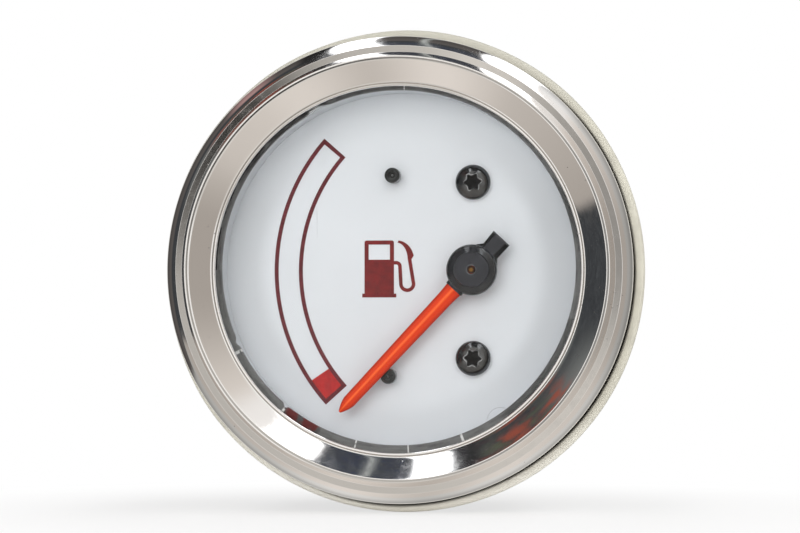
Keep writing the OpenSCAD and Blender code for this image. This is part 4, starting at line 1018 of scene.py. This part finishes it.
class GAUGE_OT_stop_pins(GaugePiece, bpy.types.Operator):
    """Two pegs with rounded shoulders and a dimple, each a section turned round its own axis"""
    bl_idname = "gauge.stop_pins"
    bl_label = "Stop pins"

    def make(self, s):
        low, top, r = far("stop_pins"), near("stop_pins"), s.stop_r
        stem, round_r, wall_r = 0.6, 0.22, 0.62
        rings = path((0, low), (stem - 0.2, low), (stem, low + 0.2), (stem, DIAL_Z), (r, DIAL_Z), (r, DIAL_Z + 0.1),
                     bow((r - round_r, top - 0.12 - round_r), round_r, 0, 90, 7),
                     (wall_r + 0.06, top - 0.14), bow((wall_r - 0.1, top - 0.1), 0.1, 20, 165, 7),
                     (0.38, top - 0.5), (0.16, top - 0.55), (0.1, top - 0.3), (0, top - 0.28))
        # Each pin's distance from the pivot and its angle, in degrees
        places = ((17.5, 231.5), (16.05, 130.2))
        grids = [(turned(rings, 64, PIVOT + bow((0, 0), reach, turn, turn, 1)[0]), False)
                 for reach, turn in places]
        piece("stop_pegs", grids, "stop_black", "case", ["stop_pins"], 40)


class GAUGE_OT_case(GaugePiece, bpy.types.Operator):
    """Moulded case with softened edges"""
    bl_idname = "gauge.case"
    bl_label = "Case"

    def make(self, s):
        softened("case_moulding", "case_shell", "case_black", "case", 0.15)


class GAUGE_OT_fastenings(GaugePiece, bpy.types.Operator):
    """Studs with a rolled thread, a triangle wave that climbs one pitch a turn, and their nuts and washers"""
    bl_idname = "gauge.fastenings"
    bl_label = "Studs and nuts"

    def make(self, s):
        tip, head_top = far("mounting_studs"), near("mounting_studs")
        wall_z = far("case_shell") + 2
        thread_h, off_axis, head_half, count = 0.3, 17, 3.25, 48
        t = angles(count)
        rows = np.arange(tip + 0.45, far("stud_washers") + 4, s.pitch / 6)
        thread = [(0.0, tip), (s.stud_r - 0.5, tip)]
        for z in rows:
            wave = np.abs((z / s.pitch - t / FULL) % 1 - 0.5) * 2
            taper = 0.45 * (1 - ease(z, tip + 0.2, tip + 0.8))
            thread.append((s.stud_r - thread_h * wave - taper, z))
        thread += [(s.stud_r, rows[-1] + 0.2), (s.stud_r, wall_z), (0.0, wall_z)]
        # The head inside the case is a hexagon, head_half from its axis to each flat.
        hexagon = head_half / np.cos((t + np.pi / 6) % (np.pi / 3) - np.pi / 6)
        head = [(0.0, wall_z), (hexagon, wall_z), (hexagon, head_top), (0.0, head_top)]
        grids = [(turned(rings, count, (0, up)), False) for up in (-off_axis, off_axis) for rings in (thread, head)]
        piece("stud_pair", grids, "zinc_steel", "case", ["mounting_studs"], 30)
        softened("nut_pair", "stud_nuts", "zinc_steel", "case", 0.22)
        softened("washer_pair", "stud_washers", "zinc_steel", "case", 0.08)


class GAUGE_OT_terminals(GaugePiece, bpy.types.Operator):
    """Blade terminals with softened edges"""
    bl_idname = "gauge.terminals"
    bl_label = "Terminals"

    def make(self, s):
        softened("blade_set", "terminal_blades", "terminal_brass", "case", 0.12)


class GAUGE_OT_lamp(GaugePiece, bpy.types.Operator):
    """Lamp holder, its contacts, bulb and filament"""
    bl_idname = "gauge.lamp"
    bl_label = "Lamp"

    def make(self, s):
        softened("lamp_grip", "lamp_holder", "holder_black", "lamp", 0.2)
        softened("lamp_blades", "lamp_contacts", "terminal_brass", "lamp", 0.08)
        coat({"lamp_bulb": "bulb_glass", "lamp_filament": "filament_wire"})


class GAUGE_OT_movement(GaugePiece, bpy.types.Operator):
    """Finishes of the movement and the board behind the dial"""
    bl_idname = "gauge.movement"
    bl_label = "Movement"

    def make(self, s):
        coat({
            "arbor": "arbor_brass", "rotor_magnet": "magnet", "front_bobbin": "bobbin", "rear_bobbin": "bobbin",
            "front_bearing": "bearing_brass", "inner_coil": "copper_wire", "outer_coil": "copper_wire",
            "shield_can": "can_steel", "coil_pins": "tinned_pin", "movement_frame": "frame_black",
            "circuit_board": "board_green", "board_screws": "zinc_steel", "ballast_resistors": "resistor_body",
            "zener_diode": "diode_black",
        })


# ---- Stage ----


# Grey levels on the camera's side by azimuth, which the bezel's flat mirrors: dark at the left and pale at the top
CAMERA_SIDE = ((0, 160), (35, 151), (63, 156), (74, 162), (84, 192), (93, 218), (101, 219), (108, 198), (116, 190),
               (123, 197), (130, 176), (136, 139), (142, 64), (149, 56), (156, 66), (162, 97), (169, 126), (175, 168),
               (181, 186), (206, 190), (224, 199), (240, 195), (268, 209), (322, 220), (352, 188), (360, 160))


def room_light(tree, window):
    """Colour and brightness of the room by direction: the angle from the gauge's axis, and the azimuth round it, 0 to
    the right and 90 up. Two tall windows stand at 58 to 73 and 101 to 112 degrees. The wall is dark from 73 to 195
    degrees, with a pale post and some red and green things on it. The rest is beige, lit softly at 250, 294 and 318
    degrees and beside the first window. The camera's side is grey, dark in its middle and mostly white at its rim, and
    behind the gauge it is pale."""
    place = tree.node("TexCoord", output="Generated")
    x, y, z = tree.axes(place)
    azimuth = tree.math("FLOORED_MODULO", tree.math("ARCTAN2", z, x) * (180 / np.pi), 360.0)
    off_axis = tree.math("ARCCOSINE", y * -1.0) * (180 / np.pi)

    def past(start, end):
        return tree.ease(azimuth, start, end)

    def between(start, end, soft=1.0):
        return past(start - soft, start + soft) * past(end + soft, end - soft)

    def round_about(centre, width):
        return tree.ease(abs(azimuth - centre), width, 0)

    outward = tree.ease(off_axis, 76, 92)
    low = past(186, 238) * past(346, 324)
    low = low * (0.41 + 0.59 * round_about(250, 24) + 0.5 * round_about(294, 26) + 0.2 * round_about(318, 16))
    right = past(8, 56) * past(60, 58) * (1 - outward * 0.28)
    beige = tree.ease(off_axis, 86, 68)
    dim = tree.mix(linear(167, 166, 163), linear(172, 165, 158), beige)
    lit = tree.mix(linear(226, 225, 222), linear(230, 223, 216), beige)
    colour = tree.layers(dim, (lit, low + right), ((1, 1, 1), past(41, 51) * past(59, 57) * 0.6))

    speckle = 0.5 + (tree.noise(0.014, 3.0, 0.6, place) - 0.5) * tree.ease(off_axis, 78, 66)
    things = tree.noise(0.11, 2.0, 0.6, place)
    cluttered = between(121, 148, 3) * tree.ease(off_axis, 70, 60)
    wall = tree.layers(linear(52, 54, 57), *((linear(*levels), amount) for levels, amount in (
        ((90, 93, 96), tree.ease(speckle, 0.42, 0.72)),
        ((92, 88, 86), outward),
        ((118, 121, 120), between(143, 160, 8) * tree.ease(off_axis, 75, 50)),
        ((176, 142, 140), between(129, 139, 4) * outward),
        ((42, 41, 42), between(112, 120, 2) * tree.ease(speckle, 0.72, 0.5)),
        ((50, 62, 98), between(76, 112, 4) * tree.ease(speckle, 0.46, 0.38)),
        ((92, 98, 80), tree.ease(things, 0.47, 0.38) * cluttered * 0.7),
        ((154, 80, 64), tree.ease(things, 0.46, 0.57) * cluttered * 0.9),
        ((182, 186, 184), between(87.9, 89.6, 0.4)),
    )))
    panes = between(58, 73.4, 0.8) + between(101, 112, 0.8)
    colour = tree.layers(colour, (wall, past(71.4, 75.4) * tree.ease(azimuth - outward * 8.0, 197, 193)),
                         (linear(250, 252, 255), panes))
    level = (1 + panes * (window - 1)) * (1 - 0.3 * tree.ease(off_axis, 88, 130))

    camera_side, behind = tree.ease(off_axis, 38, 35), tree.ease(off_axis, 138, 152)
    grey = tree.mix(linear(140, 139, 137), tree.ramp(azimuth, CAMERA_SIDE), tree.ease(off_axis, 3, 6))
    rim = tree.ease(off_axis, 18.3, 20.3) * (1 - 0.85 * past(222, 246) * past(352, 336))
    colour = tree.layers(colour, (tree.mix(grey, linear(252, 250, 247), rim), camera_side),
                         (linear(214, 212, 207), behind))
    return colour, level * (1 - camera_side) * (1 - behind) + camera_side + behind


def area_lamp(name, energy, size, place):
    """A square lamp that points at the gauge and doesn't show in metal."""
    lamp = bpy.data.lights.new(name, "AREA")
    lamp.energy, lamp.size = energy, size
    made = added(name, lamp)
    made.location = place
    made.rotation_euler = (-made.location).to_track_quat("-Z", "Y").to_euler()
    made.visible_glossy = False


def plain_floor(drop=0.0001, size=6.0):
    """A white floor just under the gauge. It glows for the camera, so that it is as white as the background, but less
    so near the gauge, where it takes some of the gauge's shadow."""
    level = float(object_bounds()[0][2]) - drop
    mesh = bpy.data.meshes.new("floor")
    mesh.from_pydata([(x * size, y * size, level) for x, y in ((-1, -1), (1, -1), (1, 1), (-1, 1))], [],
                     [(0, 1, 2, 3)])
    material = bpy.data.materials.new("floor_white")
    tree = Tree(material)
    plain = tree.node("BsdfDiffuse", {"Color": linear(244, 243, 241)})
    glow = tree.node("Emission", {"Color": (1, 1, 1), "Strength": 1.0})
    seen = tree.node("LightPath", output="Is Camera Ray")
    x, y, _ = tree.axes()
    away = tree.ease((x * x + y * y) ** 0.5, 32, 85)
    tree.done(tree.node("MixShader", {0: seen * (0.7 + 0.3 * away), 1: plain, 2: glow}))
    mesh.materials.append(material)
    floor = added("floor", mesh)
    floor.visible_glossy = False
    floor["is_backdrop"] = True


class GAUGE_OT_stage(bpy.types.Operator):
    """Camera at the photograph's angle, pale floor, the room's light and two lamps in front"""
    bl_idname = "gauge.stage"
    bl_label = "Stage"

    def execute(self, context):
        scene, s = context.scene, context.scene.gauge_stage
        eye = bpy.data.cameras.new("camera")
        eye.lens, eye.sensor_width, eye.clip_start = s.lens, 36, 0.01
        camera = added("camera", eye)
        a, e = s.azimuth, s.elevation
        back = Vector((np.sin(a) * np.cos(e), -np.cos(a) * np.cos(e), np.sin(e)))
        camera.location = Vector((s.aim_x, 0, s.aim_z)) + back * s.distance
        camera.rotation_euler = (-back).to_track_quat("-Z", "Y").to_euler()
        scene.camera = camera

        scene.world = bpy.data.worlds.new("studio")
        tree = Tree(scene.world)
        colour, level = room_light(tree, s.window)
        room = tree.node("Background", {"Color": colour, "Strength": level})
        white = tree.node("Background", {"Color": (1, 1, 1), "Strength": 1.0})
        seen = tree.node("LightPath", output="Is Camera Ray")
        tree.done(tree.node("MixShader", {0: seen, 1: room, 2: white}), "OutputWorld")

        area_lamp("key", s.key, 0.4, (-0.12, -0.68, 0.1))
        area_lamp("fill", s.fill, 1.8, (0.0, -0.75, 0.0))
        plain_floor()
        scene.view_settings.view_transform = "Standard"
        return {"FINISHED"}


OPERATORS = (
    GAUGE_OT_bezel, GAUGE_OT_glass, GAUGE_OT_panel_gasket, GAUGE_OT_dial, GAUGE_OT_needle, GAUGE_OT_hub,
    GAUGE_OT_dial_screws, GAUGE_OT_stop_pins, GAUGE_OT_case, GAUGE_OT_fastenings, GAUGE_OT_terminals,
    GAUGE_OT_lamp, GAUGE_OT_movement, GAUGE_OT_stage,
)


class GAUGE_PT_parts(bpy.types.Panel):
    """Lists the gauge's pieces, sizes and colours"""
    bl_label = "Fuel gauge"
    bl_space_type = "VIEW_3D"
    bl_region_type = "UI"
    bl_category = "Fuel gauge"

    def draw(self, context):
        for operator in OPERATORS:
            self.layout.operator(operator.bl_idname)
        for group in (context.scene.gauge_sizes, context.scene.gauge_colours, context.scene.gauge_stage):
            box = self.layout.box()
            for name in type(group).__annotations__:
                box.prop(group, name)


GROUPS = (("gauge_sizes", GaugeSizes), ("gauge_colours", GaugeColours), ("gauge_stage", GaugeStage))


def register():
    for name, group in GROUPS:
        bpy.utils.register_class(group)
        setattr(bpy.types.Scene, name, PointerProperty(type=group))
    for made in (*OPERATORS, GAUGE_PT_parts):
        bpy.utils.register_class(made)


def unregister():
    for made in (GAUGE_PT_parts, *reversed(OPERATORS)):
        bpy.utils.unregister_class(made)
    for name, group in reversed(GROUPS):
        delattr(bpy.types.Scene, name)
        bpy.utils.unregister_class(group)


def main():
    register()
    for operator in OPERATORS:
        group, name = operator.bl_idname.split(".")
        getattr(getattr(bpy.ops, group), name)()


if __name__ == "__main__":
    main()
